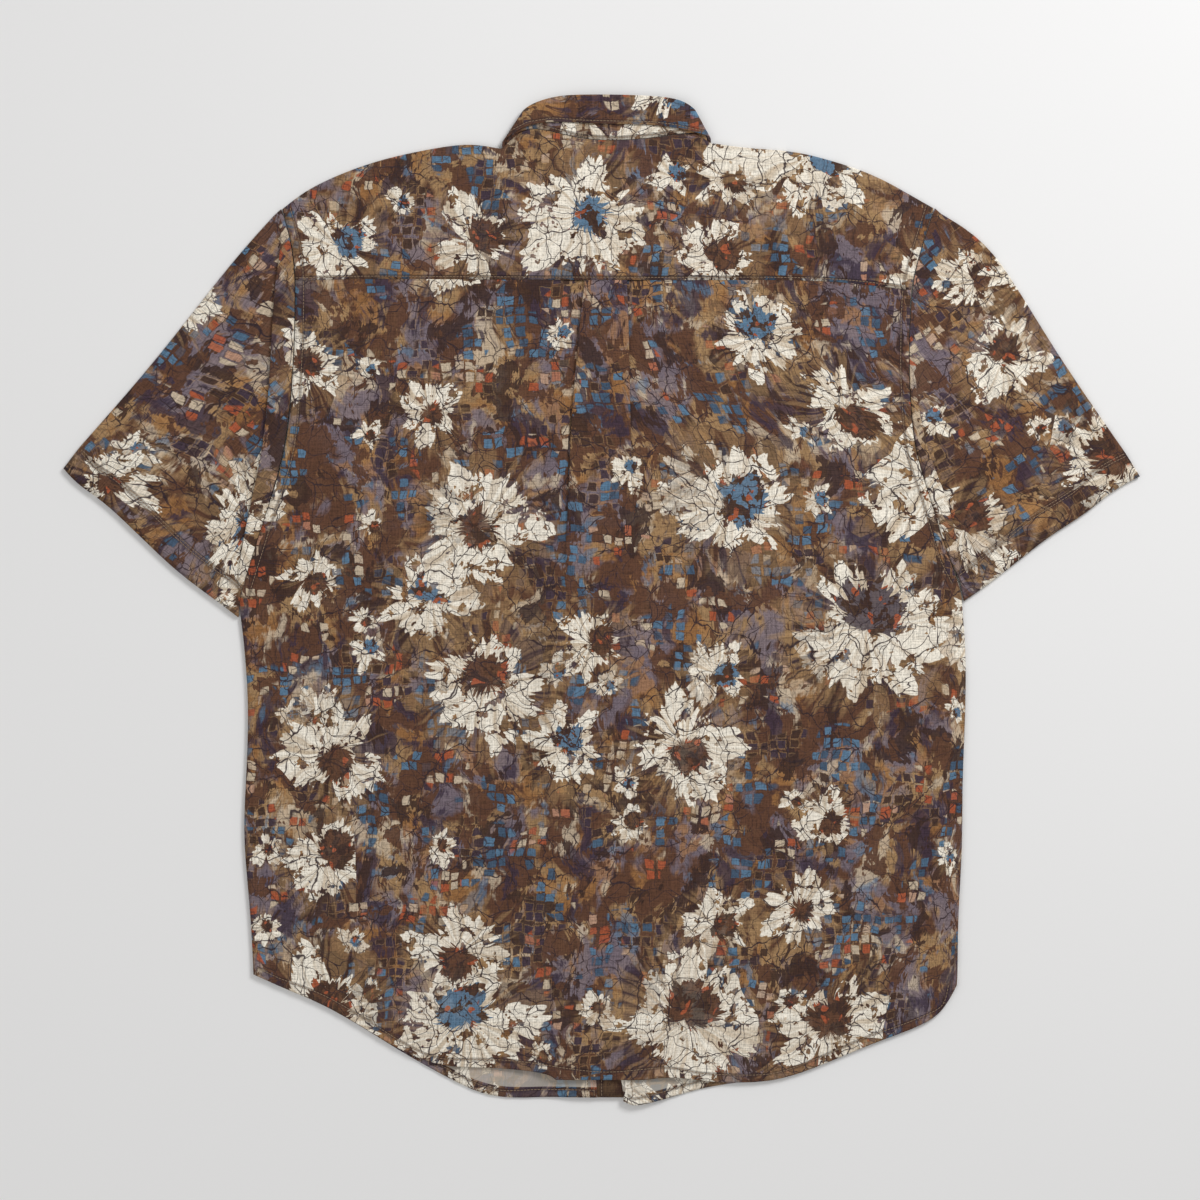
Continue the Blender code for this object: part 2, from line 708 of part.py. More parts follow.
def make_yoke(finish):
    """The yoke: one piece over the back, both shoulder folds and down to the front yoke seams."""
    arm_left, arm_right = ARMHOLE_LINES["left"], ARMHOLE_LINES["right"]
    seam = Line(YOKE_SEAM, (0, SEAM_GAP / 2))
    fold_left = Line(SHOULDER_LEFT, (0, -FOLD_INSET))
    fold_right = Line(SHOULDER_RIGHT, (0, -FOLD_INSET))
    neck = [(row.seam_x, row.seam_y - 2 * SEAM_GAP) for row in STAND if row.level == 1.0]
    neck[0] = (neck[0][0] + NECK_EASE, neck[0][1] - 4 * NECK_EASE)
    neck[-1] = (neck[-1][0] - NECK_EASE, neck[-1][1] - 4 * NECK_EASE)
    shares = np.linspace(0, 1, 9)
    tops = [fold_left.at(share) for share in shares]
    tops += [np.array(point) for point in neck]
    tops += [fold_right.at(share) for share in shares]
    last_left, first_right = len(shares) - 1, len(shares) + len(neck)
    tops[0][0] = arm_left.x_at(tops[0][1]) + SEAM_GAP
    tops[-1][0] = arm_right.x_at(tops[-1][1]) - SEAM_GAP
    x_low, x_high = tops[0][0], tops[-1][0]
    along = np.linspace(0, 1, 6)
    sheet = Sheet()
    rows = []
    for v in along:
        row = []
        for top in tops:
            u = (top[0] - x_low) / (x_high - x_low)
            foot_x = seam.points[0, 0] + u * (seam.points[-1, 0] - seam.points[0, 0])
            foot = np.array([foot_x, seam.y_at(foot_x)])
            x, y = (1 - v) * foot + v * top
            bulge_left = arm_left.x_at(y) - np.interp(y, [foot[1], top[1]], [seam.points[0, 0], x_low])
            bulge_right = arm_right.x_at(y) - np.interp(y, [foot[1], top[1]], [seam.points[-1, 0], x_high])
            x += (1 - u) ** 6 * (bulge_left + SEAM_GAP) + u**6 * (bulge_right - SEAM_GAP)
            row.append((x, y, upper_edge_mid(x, y) + pleat_lift(x, y)))
        rows.append(row)
    sheet.grid(rows)
    flaps = (
        (0, last_left, Line(FRONT_YOKE_LEFT, (0, SEAM_GAP)), arm_left, SEAM_GAP),
        (first_right, len(tops) - 1, Line(FRONT_YOKE_RIGHT, (0, SEAM_GAP)), arm_right, -SEAM_GAP),
    )
    for first, last, front_seam, arm, gap in flaps:
        flap = [rows[-1][first : last + 1]]
        radius = [0.5 * (point[2] - lower_mid(point[0], point[1])) for point in flap[0]]
        bends = [bend_points(point, (0.0, 1.0), r) for point, r in zip(flap[0], radius)]
        for step in range(3):
            flap.append([bend[step] for bend in bends])
        count = last - first
        for v in np.linspace(0, 1, 4):
            row = []
            for j, top in enumerate(flap[0]):
                share = j / count
                foot = front_seam.at(share)
                x, y = (1 - v) * np.array(top[:2]) + v * foot
                if j == (0 if gap > 0 else count):
                    x = arm.x_at(y) + gap
                row.append((x, y, lower_mid(x, y)))
            flap.append(row)
        sheet.grid(flap)
    return cloth_object("yoke", sheet, finish)


def make_front(name, side, arm, front_yoke, hem, edge_x, height, finish):
    """One front: side seam and armhole on one edge, centre front on the other."""
    outward = 1 if side[0].x > 0 else -1
    arm_rows = [row for row in arm if row.y < FRONT_CORNER_Y]
    outer = Line([*side, *arm_rows], (-0.5 * outward, 0))
    neck = [
        (row.seam_x, row.seam_y)
        for row in STAND
        if row.level == 0.0 and row.seam_y < COLLAR_MID_Y and row.seam_x * outward > 0
    ]
    top_rows = [(row.x, row.y - SEAM_GAP) for row in front_yoke]
    centre = np.array([CENTRE_X, 375.0])
    moved = []
    for point in neck:
        ray = np.array(point) - centre
        moved.append(centre + ray * (1 + NECK_GAP / np.linalg.norm(ray)))
    moved.sort(key=lambda point: -abs(point[0] - CENTRE_X))
    top_rows.sort(key=lambda point: -abs(point[0]))
    neck_end = Place(edge_x(NECK_END_Y), NECK_END_Y)
    yoke_line = Line([Place(*point) for point in top_rows])
    moved = [point for point in moved if abs(point[0] - neck_end.x) > 8 and point[1] < NECK_SIDE_Y]
    neck_rows = [Place(*point) for point in moved]
    neck_line = Line([Place(*top_rows[-1]), *neck_rows, neck_end])

    def top(share):
        if share < YOKE_CORNER:
            return yoke_line.at(share / YOKE_CORNER)
        return neck_line.at((share - YOKE_CORNER) / (1 - YOKE_CORNER))

    start, end = hem[0], hem[-1]
    bottom_rows = hem if abs(start.x) > abs(end.x) else list(reversed(hem))
    bottom = Line(bottom_rows, (0, 0.5))
    foot = bottom.points[-1]

    def inner(share):
        y = foot[1] + share * (neck_end.y - foot[1])
        return np.array([edge_x(y) + (foot[0] - edge_x(foot[1])) * (1 - share), y])

    along = body_shares(PANEL_LENGTH)
    hems = HEM_ROWS + [False] * (len(along) - 2)
    flat = patch(bottom.at, top, outer.at, inner, FRONT_ACROSS, along)
    sheet = Sheet()
    rows = []
    for i, hem_row in enumerate(hems):
        rise = HEM_RISE if hem_row else 0.0
        rows.append([(x, y, height(x, y) + rise) for x, y in flat[i]])
    sheet.grid(rows, hems)
    return cloth_object(name, sheet, finish)


def make_placket(finish):
    """The band on the left front's edge, which carries the buttonholes."""
    sheet = Sheet()
    rows = []
    for y in np.linspace(FRONT_HEM_LEFT[-1].y + 0.7, NECK_END_Y, 14):
        inner = placket_edge(y)
        shares = (0.0, 0.5, 1.0)
        rows.append([(inner + PLACKET_WIDE * u, y, 0.5 * CLOTH + BUTTON_ROOM) for u in shares])
    sheet.grid(rows)
    return cloth_object("placket", sheet, finish)


def sleeve_line(arm, tucks, top_line, end, u, outward, folded):
    """The plan points of one line down a sleeve from the armhole to the cuff, and its fold's path."""
    on_top_fold = u == 0.0
    reach, lean = UNDERARM_RUN if u == 1.0 else (1.0, TOP_FOLD_LEAN if on_top_fold else 0.0)
    seam = arm.at(1 - u) + (outward * 2 * SEAM_GAP, -FOLD_INSET if on_top_fold else 0.0)
    strip, tuck, turn = tuck_at(tucks, u)
    path = tuck_path(tuck, turn) if folded else tuck_path(PLAIN_TUCK, 0)
    start = seam + (outward * strip * reach, -strip * lean)
    points = [seam, *(start + (outward * out * reach, -out * lean) for out, _ in path)]
    begin = points[-1]
    run = end - begin
    hem = min(CUFF_HEM / np.linalg.norm(run), MOST_HEM_SHARE)
    inset = np.multiply(TOP_FOLD_SQUARE, (outward * FOLD_INSET, FOLD_INSET))
    for share in [row * (1 - hem) for row in SLEEVE_ROWS] + [1 - hem - HEM_STEP, 1 - hem, 1.0]:
        if on_top_fold:
            along = top_line.share_at_y(begin[1]) * (1 - share) + share
            points.append(top_line.at(along) - inset)
        else:
            points.append(begin + run * share)
    return points, path


def sleeve_heights(points, path, u):
    """The heights of one line of the upper layer, high at the armhole and down to the lower layer's."""
    high = upper_edge_mid(*points[0])
    flat_edge = 1 - min(min(u, 1 - u) / 0.05, 1.0)
    heights = [high, *(high + up for _, up in path)]
    for k, (x, y) in enumerate(points[len(heights) :], start=1):
        away = ramp(0, 1, k / 3)
        crease = crease_rise(x, y) * (1 - flat_edge)
        heights.append((high + path[-1][1]) * (1 - away) + away * (0.5 * CLOTH + LAYER_STEP + crease))
    return heights


def make_sleeve(name, arm, tucks, top_rows, cuff_rows, across, finish):
    """A sleeve: a flattened tube from the armhole to the cuff, tucked under itself at the armhole."""
    outward = -1 if arm.points[0, 0] < 0 else 1
    top_line, cuff = Line(top_rows), Line(cuff_rows)
    upper, lower = [], []
    for u, cuff_share in zip(across, CUFF_ACROSS):
        points, path = sleeve_line(arm, tucks, top_line, cuff.at(cuff_share), u, outward, True)
        under, _ = sleeve_line(arm, tucks, top_line, cuff.at(cuff_share), u, outward, False)
        rises = [0.0] * (len(points) - 2) + [HEM_RISE, HEM_RISE]
        heights = sleeve_heights(points, path, u)
        upper.append([(x, y, z + rise) for (x, y), z, rise in zip(points, heights, rises)])
        lower.append([(x, y, lower_mid(x, y) + rise) for (x, y), rise in zip(under, rises)])
    sheet = Sheet()
    rows = []
    for k in range(len(upper[0])):
        ring = [line[k] for line in upper]
        low_ring = [line[k] for line in lower]
        near_way = np.subtract(ring[0][:2], ring[1][:2])
        far_way = np.subtract(ring[-1][:2], ring[-2][:2])
        near_way, far_way = near_way / np.linalg.norm(near_way), far_way / np.linalg.norm(far_way)
        near_radius = 0.5 * (ring[0][2] - low_ring[0][2])
        far_radius = 0.5 * (ring[-1][2] - low_ring[-1][2])
        far_bend = bend_points(ring[-1], far_way, far_radius)
        near_bend = bend_points(low_ring[0], near_way, near_radius, up=True)
        rows.append(ring + far_bend + low_ring[::-1] + near_bend)
    hems = [False] * (len(rows) - 2) + HEM_ROWS
    sheet.grid(rows, hems, ring=True)
    return cloth_object(name, sheet, finish)


def stand_height(row, x, y):
    front = 0.5 * CLOTH + BUTTON_ROOM + row.lap * PLY
    return (1 - row.level) * front + row.level * upper_mid(x, y)


def fold_way(index):
    """The way out of the collar's top fold at a station, square to the fold except at the two sides."""
    station = STAND[index]
    rise = np.array([station.fold_x - station.seam_x, station.fold_y - station.seam_y])
    near = STAND[max(index - 1, 0) : index + 2]
    if all(row.level in (0.0, 1.0) for row in near):
        run = np.array([near[-1].fold_x - near[0].fold_x, near[-1].fold_y - near[0].fold_y])
        run = run / np.linalg.norm(run)
        rise = rise - run * (rise @ run)
    return rise / np.linalg.norm(rise)


def make_collar_stand(finish):
    """The band round the neck, its two ends lapped at the centre front."""
    sheet = Sheet()
    rows = []
    for index, station in enumerate(STAND):
        seam = np.array([station.seam_x, station.seam_y])
        fold = np.array([station.fold_x, station.fold_y])
        way = fold_way(index)
        behind = all(row.level == 1.0 for row in STAND[max(index - 1, 0) : index + 2])
        top = fold - way * (FOLD_INSET + (SEAM_GAP if behind else SIDE_GAP))
        row = []
        for share in (0.0, 0.5, 1.0):
            x, y = (1 - share) * seam + share * top
            row.append((x, y, stand_height(station, x, y)))
        rows.append(row)
    sheet.grid(rows)
    return cloth_object("collar_stand", sheet, finish)


def make_collar_fall(finish):
    """The collar, turned down over the stand at its top fold."""
    sheet = Sheet()
    rows = []
    for index, edge in enumerate(FALL_EDGE, start=1):
        station = STAND[index]
        fold = np.array([station.fold_x, station.fold_y])
        way = fold_way(index)
        start = fold - way * FOLD_INSET
        tilt = math.pi * (station.level - 0.5)
        sideways = (-1 if fold[0] < CENTRE_X else 1) * math.cos(tilt)
        outward = np.array([sideways, 0.0, math.sin(tilt)])
        base = np.array([*start, stand_height(station, *start)])
        radius = FALL_RADIUS + SIDE_RADIUS * (1 - abs(2 * station.level - 1))
        if station.level == 0.0:
            radius = 0.5 * (base[2] - PLY)
        row = [tuple(base)]
        for degrees in (45, 90, 135, 180):
            angle = math.radians(degrees)
            rise = np.array([*way, 0.0]) * radius * math.sin(angle)
            row.append(tuple(base + rise + outward * radius * (1 - math.cos(angle))))
        turned = np.array(row[-1])
        end_high = upper_mid(edge.x, edge.y) + FALL_LIFT
        end_z = (1 - edge.level) * 0.5 * CLOTH + edge.level * end_high
        end = np.array([edge.x, edge.y, end_z])
        row += [tuple(turned + (end - turned) * share) for share in FALL_ROWS]
        rows.append(row)
    sheet.grid(rows)
    return cloth_object("collar_fall", sheet, finish)


BUTTON_PROFILE = table(
    "share height",  # share of the radius, from the face on the surface to the back
    (0.0, 0.5),
    (0.62, 0.5),
    (0.72, 0.0),
    (0.92, 0.0),
    (1.0, 0.5),
    (1.0, 1.5),
    (0.9, BUTTON_HIGH),
    (0.0, BUTTON_HIGH),
)


def make_button(name, x, y, finish):
    """A round button lying on the surface, with a raised rim towards it."""
    radius = 0.5 * BUTTON_WIDE
    shape = bmesh.new()
    verts = [shape.verts.new((radius * row.share * MM, 0, row.height * MM)) for row in BUTTON_PROFILE]
    edges = [shape.edges.new(pair) for pair in zip(verts, verts[1:])]
    bmesh.ops.spin(
        shape,
        geom=verts + edges,
        axis=(0, 0, 1),
        cent=(0, 0, 0),
        angle=2 * math.pi,
        steps=BUTTON_SIDES,
        use_merge=True,
    )
    bmesh.ops.remove_doubles(shape, verts=shape.verts, dist=1e-6)
    bmesh.ops.recalc_face_normals(shape, faces=shape.faces)
    mesh = bpy.data.meshes.new(name)
    shape.to_mesh(mesh)
    shape.free()
    mesh.shade_smooth()
    mesh.set_sharp_from_angle(angle=math.radians(40))
    mesh.materials.append(finish)
    obj = bpy.data.objects.new(name, mesh)
    obj.location = (x * MM, y * MM, 0)
    bpy.context.scene.collection.objects.link(obj)
    return obj


ARMHOLE_LINES = {"left": Line(ARMHOLE_LEFT), "right": Line(ARMHOLE_RIGHT)}


def make_buttons(finish):
    middle = 0.5 * PLACKET_WIDE
    make_button("button_collar", placket_edge(COLLAR_BUTTON_Y) + middle, COLLAR_BUTTON_Y, finish)
    for index in range(BUTTON_COUNT):
        y = BUTTON_FIRST_Y - BUTTON_PITCH * index
        make_button(f"button_{index + 1}", placket_edge(y) + middle, y, finish)


def right_front_edge(y):
    """The right front's edge, which opens away from the placket below the last button."""
    last = BUTTON_FIRST_Y - BUTTON_PITCH * (BUTTON_COUNT - 1)
    return -11.5 + 30.0 * ramp(0, 170, last - y)


def main():
    for obj in list(bpy.data.objects):
        bpy.data.objects.remove(obj, do_unlink=True)
    cloth = material("printed_cotton", PRINT_BROWN, 0.85)
    plastic = material("button_plastic", BUTTON_BROWN, 0.35)
    make_back(cloth)
    make_yoke(cloth)
    make_front(
        "front_left",
        SIDE_LEFT,
        ARMHOLE_LEFT,
        FRONT_YOKE_LEFT,
        FRONT_HEM_LEFT,
        lambda y: placket_edge(y) - SEAM_GAP,
        lower_mid,
        cloth,
    )
    make_front(
        "front_right",
        SIDE_RIGHT,
        ARMHOLE_RIGHT,
        FRONT_YOKE_RIGHT,
        FRONT_HEM_RIGHT,
        right_front_edge,
        inner_mid,
        cloth,
    )
    make_placket(cloth)
    make_sleeve(
        "sleeve_left",
        ARMHOLE_LINES["left"],
        SLEEVE_TUCK_LEFT,
        SLEEVE_TOP_LEFT,
        CUFF_LEFT,
        LEFT_ACROSS,
        cloth,
    )
    make_sleeve(
        "sleeve_right",
        ARMHOLE_LINES["right"],
        SLEEVE_TUCK_RIGHT,
        SLEEVE_TOP_RIGHT,
        CUFF_RIGHT,
        RIGHT_ACROSS,
        cloth,
    )
    make_collar_stand(cloth)
    make_collar_fall(cloth)
    make_buttons(plastic)


main()
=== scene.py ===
import math
from collections import namedtuple

import bmesh
import bpy
import numpy as np
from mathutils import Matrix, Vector
from mathutils.bvhtree import BVHTree


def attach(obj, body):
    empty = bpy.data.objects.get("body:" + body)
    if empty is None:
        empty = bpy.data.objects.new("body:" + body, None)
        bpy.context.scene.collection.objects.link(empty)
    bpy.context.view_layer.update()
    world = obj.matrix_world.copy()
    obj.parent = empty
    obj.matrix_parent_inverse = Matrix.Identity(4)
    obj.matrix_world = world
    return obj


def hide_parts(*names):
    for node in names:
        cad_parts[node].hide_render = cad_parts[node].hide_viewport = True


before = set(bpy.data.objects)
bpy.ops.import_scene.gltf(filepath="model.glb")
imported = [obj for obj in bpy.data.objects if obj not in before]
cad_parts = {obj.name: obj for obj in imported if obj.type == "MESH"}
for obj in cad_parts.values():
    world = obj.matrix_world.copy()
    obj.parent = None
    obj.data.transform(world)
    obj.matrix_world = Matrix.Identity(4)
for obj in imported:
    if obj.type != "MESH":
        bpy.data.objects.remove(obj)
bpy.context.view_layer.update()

# The look of a short-sleeve shirt laid face down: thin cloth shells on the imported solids, the sewing on
# them, buttons, a printed cotton made of shader nodes, a pale floor and soft light.
# Sizes are millimetres unless a comment says metres, and every object is made in metres.
bl_info = {
    "name": "Short-sleeve shirt, laid flat",
    "version": (1, 0, 0),
    "blender": (4, 5, 0),
    "location": "3D View > Sidebar > Shirt",
    "description": "Builds the cloth, sewing and print of a short-sleeve shirt on its packed solids",
    "category": "Object",
}

MM = 0.001  # a millimetre in metres

# Cloth and the way its layers lie on each other
CLOTH = 1.0  # one cut piece
HEM_CLOTH = 1.5  # where a hem is turned up
HEM_RISE = 0.5 * (HEM_CLOTH - CLOTH)
SEAM_GAP = 0.3  # between the edges of two pieces that are sewn together
SEW_IN = 0.2  # from the line of a side seam or an armhole to the edge of each piece
PLY = 1.3  # from one layer's middle to the next where cloth is folded tight
LAYER_STEP = 2.0  # from the lower layer's middle to the upper layer's
FOLD_RADIUS = 0.5 * LAYER_STEP
FOLD_INSET = 0.5 * CLOTH + FOLD_RADIUS  # from a folded edge to where its bend starts
BEND_STEPS = 3  # straight steps in each bend of a tuck
BUTTON_HIGH = 2.0
BUTTON_WIDE = 11.0
BUTTON_ROOM = BUTTON_HIGH + SEAM_GAP

# Hems, the centre front and its buttons
BODY_HEM = 8.0
CUFF_HEM = 23.0
CENTRE_X = 3.8
PLACKET_WIDE = 34.8
BUTTON_FIRST_Y = 258.0
BUTTON_PITCH = 86.0
BUTTON_COUNT = 7
LAST_BUTTON_Y = BUTTON_FIRST_Y - BUTTON_PITCH * (BUTTON_COUNT - 1)
OPENING_LONG = 170.0  # from the last button down, where the fronts part
PLACKET_EDGE_X, PLACKET_LEAN = -10.6, 6.8  # the placket's inner edge, and how far it leans at the hem
RIGHT_EDGE_X, RIGHT_OPENING = -11.5, 30.0  # the same for the right front's edge
COLLAR_BUTTON_Y = 324.0

# Where the lower layer is held off the surface: over the collar's points, and over the placket's buttons
COLLAR_MID_Y = 352.0
COLLAR_REACH_X = 100.0
COLLAR_REACH_Y = 88.0
COLLAR_FAR = 1.4  # of that reach, where the layer is down again
PLACKET_MID_X = 10.0
PLACKET_NEAR = 30.0
PLACKET_FAR = 55.0
COLLAR_MORE, PLACKET_MORE = (0.1, 0.3), (7.0, 28.0)  # how much further the layer on top is held up

# The collar
SIDE_GAP = 1.8  # from the stand's top edge to the fall where the fold isn't behind the neck
NECK_EASE = 0.8  # room for the stand where it turns round each end of the neck
NECK_GAP = 0.9  # from the stand's seam to the fronts
NECK_END_Y = 306.2
FALL_RADIUS = 0.75  # of the collar's top fold, in front and behind
SIDE_RADIUS = 0.35  # how much wider it is where it turns over at the two sides
FALL_LIFT = 1.5  # from the layer on top to the fall that lies on it
FALL_ROWS = (0.35, 0.7, 1.0)  # down the fall from its fold to its edge

# The sleeves
TOP_FOLD_LEAN = 0.9  # fall in Y for each unit of X, down a sleeve's top fold beside its tuck
TOP_FOLD_SQUARE = (0.76, 0.65)  # across and up, for a step square to that fold
UNDERARM_RUN = (0.16, 1.0)  # across and down, along a sleeve's underarm fold from the armhole
PLAIN_TUCK = 0.3  # the lower layer's own tuck, which is no more than a step in its grid
MOST_HEM_SHARE = 0.45
HEM_STEP = 0.01  # of a sleeve's length, where the cuff's hem starts
SLEEVE_ROWS = (0.16, 0.36, 0.56, 0.76)  # from the tuck to the cuff's hem
SETTLE_ROWS = 3  # the rows over which a sleeve comes down from its tuck
CUFF_ACROSS = (0.0, 0.09, 0.19, 0.29, 0.41, 0.52, 0.63, 0.74, 0.85, 0.93, 1.0)
LEFT_ACROSS = (0.0, 0.06, 0.13, 0.2, 0.35, 0.5, 0.64, 0.78, 0.9, 0.96, 1.0)
RIGHT_ACROSS = (0.0, 0.1, 0.19, 0.3, 0.44, 0.56, 0.66, 0.76, 0.86, 0.93, 1.0)

# The grids of the flat panels
BACK_ACROSS = (*np.linspace(0, 0.42, 10), 0.5, *np.linspace(0.58, 1, 10))
YOKE_CORNER = 0.64  # of a front's top edge, where the yoke seam meets the neck
FRONT_ACROSS = (*np.linspace(0, YOKE_CORNER, 8), 0.71, 0.78, 0.85, 0.89, 0.94, 0.97, 1.0)
PANEL_LENGTH = 665.0  # from hem to yoke, by which a hem's width becomes a share
ARMHOLE_SHARE = 0.56  # of a panel's length, above which its rows are closer
ARMPIT_SHARES = (0.522, 0.542)  # two more rows, at the armpit's corner
SIDE_ROWS, ARMHOLE_ROWS = 7, 11  # rows beside the side seam and beside the armhole
HEM_ROWS = [True, True]  # the two rows of a panel or a sleeve that lie on its hem
YOKE_STATIONS, YOKE_ROWS, FLAP_ROWS = 9, 6, 4  # across each shoulder, up the back, and down to a front
PLACKET_ROWS = 14
PLACKET_START = 0.7  # from the front's hem to the placket's lower end
NECK_MIDDLE_Y = 375.0  # of the neck, from which the fronts' edge is moved outward
NECK_CLEAR = 8.0  # from the end of a front's neck edge to its next point
BULGE_FADE = 6  # power with which the armholes' curve dies out across the yoke
BACK_CORNERS_Y = (272.0, 264.0)  # tops of the back's armhole edges, left and right, at the yoke seam
FRONT_CORNER_Y = 294.0  # the same on the fronts
NECK_SIDE_Y = 343.0  # the stations of the neck seam below this shape the fronts' top edges
ARMHOLE_FADE = 45.0  # how far into the back the sleeve's tuck lifts it
ARMHOLE_FOOT = 12.0  # below the armhole, where that lift starts
FLAT_EDGE = 0.05  # the share of a sleeve's width beside its folds that takes no creases
LINE_STEPS = 10  # straight steps of a curve between two rows of its table
KEY_DIGITS = 5  # to which two points are the same
PLEAT_FADE_X = 14.0  # how far beside and above its top the box pleat lifts the yoke
PLEAT_FADE_Y = 55.0

Place = namedtuple("Place", "x y")


def table(columns, *rows):
    Row = namedtuple("Row", columns)
    return [Row(*row) for row in rows]


def outline(*rows):
    return table("x y", *rows)


# Outlines seen from above
SIDE_LEFT = outline(
    (-295.8, -317.5), (-297.1, -282.6), (-301.3, -224.8), (-305.4, -193.4), (-301.8, -150.0),
    (-299.6, -99.0), (-300.5, -57.4), (-303.9, -33.6), (-307.6, -18.0),
)
SIDE_RIGHT = outline(
    (301.8, -326.8), (304.7, -289.4), (303.0, -261.4), (308.1, -235.9), (305.6, -183.2), (308.1, -120.3),
    (310.7, -64.2), (307.4, -18.0), (306.6, -4.0),
)
ARMHOLE_LEFT = outline(
    (-307.0, 4.0), (-300.0, 26.0), (-286.5, 68.4), (-268.5, 127.9), (-262.4, 187.4), (-260.0, 240.0),
    (-260.0, 271.2), (-261.6, 293.7), (-265.4, 312.0), (-271.6, 332.8),
)
ARMHOLE_RIGHT = outline(
    (304.8, 16.0), (300.0, 25.0), (292.0, 42.9), (279.5, 85.4), (266.2, 127.9), (261.5, 180.0),
    (261.3, 226.0), (263.0, 263.5), (268.5, 288.0), (275.0, 310.0), (282.6, 333.6),
)
SHOULDER_LEFT = outline(
    (-271.6, 332.8), (-263.1, 341.3), (-238.4, 354.9), (-208.7, 367.6), (-171.3, 378.7), (-137.3, 384.6),
    (-124.5, 388.2), (-103.3, 387.4), (-86.0, 383.8),
)
SHOULDER_RIGHT = outline(
    (94.4, 388.4), (117.7, 384.4), (143.2, 382.9), (172.1, 380.4), (203.6, 371.0), (229.9, 362.5),
    (260.5, 345.5), (282.6, 333.6),
)
YOKE_SEAM = outline(
    (-260.0, 271.2), (-200.0, 273.0), (-100.0, 272.4), (0.0, 271.6), (80.0, 271.8), (150.0, 272.0),
    (206.0, 270.0), (263.0, 263.5),
)
FRONT_YOKE_LEFT = outline(
    (-261.6, 293.7), (-238.4, 311.5), (-208.7, 325.0), (-171.3, 336.0), (-137.3, 342.0), (-103.0, 345.0),
    (-83.2, 344.5),
)
FRONT_YOKE_RIGHT = outline(
    (91.2, 345.0), (117.7, 343.5), (172.1, 337.0), (203.6, 328.5), (229.9, 317.0), (252.0, 302.0),
    (268.5, 288.0),
)
BACK_HEM = outline(
    (-295.8, -317.5), (-276.7, -326.8), (-237.6, -342.1), (-203.6, -361.7), (-166.2, -384.6),
    (-138.1, -395.5), (-103.3, -396.5), (-69.3, -398.2), (-1.3, -406.7), (54.0, -403.3), (86.3, -408.4),
    (127.1, -409.8), (151.7, -407.2), (180.2, -397.4), (228.2, -377.0), (260.5, -365.5), (286.9, -354.0),
    (297.0, -344.0), (301.8, -326.8),
)
FRONT_HEM_LEFT = outline(
    (-295.8, -317.5), (-276.7, -327.2), (-237.6, -342.8), (-203.6, -362.6), (-166.2, -386.0),
    (-145.8, -397.4), (-116.0, -413.5), (-88.0, -422.8), (-48.9, -422.2), (-4.1, -422.6),
)
FRONT_HEM_RIGHT = outline(
    (18.6, -425.8), (25.5, -429.7), (38.0, -428.0), (72.7, -418.6), (93.5, -412.5), (127.1, -408.5),
    (180.2, -396.0), (228.2, -376.0), (260.5, -364.5), (286.9, -353.2), (297.0, -343.4), (301.8, -326.8),
)
SLEEVE_TOP_LEFT = outline(
    (-271.6, 332.8), (-287.7, 316.6), (-314.9, 286.9), (-341.3, 252.9), (-377.0, 207.0), (-411.8, 166.2),
    (-436.5, 139.0), (-457.3, 112.2),
)
CUFF_LEFT = outline(
    (-457.3, 112.2), (-445.0, 98.6), (-422.9, 83.7), (-395.7, 58.2), (-360.8, 25.1), (-325.1, -1.7),
    (-309.4, -13.6),
)
SLEEVE_TOP_RIGHT = outline(
    (283.2, 333.6), (307.3, 316.6), (330.2, 303.9), (337.0, 296.4), (349.8, 272.4), (372.7, 233.3),
    (409.3, 177.2), (436.5, 139.0), (457.3, 105.8),
)
CUFF_RIGHT = outline(
    (457.3, 105.8), (433.9, 93.1), (411.8, 74.4), (382.1, 55.7), (354.9, 34.4), (325.1, 11.5),
    (308.8, 0.2),
)

# The box pleat: its two folded edges, how far the cloth is tucked under each, and how far it turns
PLEAT = table(
    "y left right tuck turn",
    (272.0, -14.5, 21.7, 13.0, 180), (229.0, -19.5, 23.6, 12.0, 180), (188.0, -23.0, 24.0, 9.0, 180),
    (160.0, -25.5, 25.0, 5.0, 180), (136.0, -26.8, 25.0, 0.3, 180), (90.0, -28.0, 26.0, 0.3, 110),
    (40.0, -30.0, 28.0, 0.3, 45), (-30.0, -32.0, 30.0, 0.3, 0), (-410.0, -36.0, 34.0, 0.3, 0),
)

# The tuck of each sleeve beside its armhole: the share of the armhole from the shoulder, the cloth
# from the seam to the folded edge, how far it is tucked under, and how far it turns
SLEEVE_TUCK_LEFT = table(
    "share strip tuck turn",
    (0.00, 1.0, 0.3, 0), (0.06, 4.0, 0.3, 60), (0.13, 11.0, 0.3, 150), (0.20, 17.0, 4.0, 180),
    (0.35, 18.5, 12.0, 180), (0.60, 18.5, 14.0, 180), (0.78, 14.0, 9.0, 180), (0.90, 9.0, 0.3, 150),
    (0.96, 4.0, 0.3, 70), (1.00, 1.0, 0.3, 0),
)
SLEEVE_TUCK_RIGHT = table(
    "share strip tuck turn",
    (0.00, 1.0, 0.3, 0), (0.40, 2.0, 0.3, 0), (0.50, 4.0, 0.3, 80), (0.58, 7.0, 0.3, 170),
    (0.66, 10.0, 6.0, 180), (0.76, 13.0, 9.0, 180), (0.86, 12.0, 5.0, 180), (0.92, 8.0, 0.3, 160),
    (0.97, 4.0, 0.3, 70), (1.00, 1.0, 0.3, 0),
)

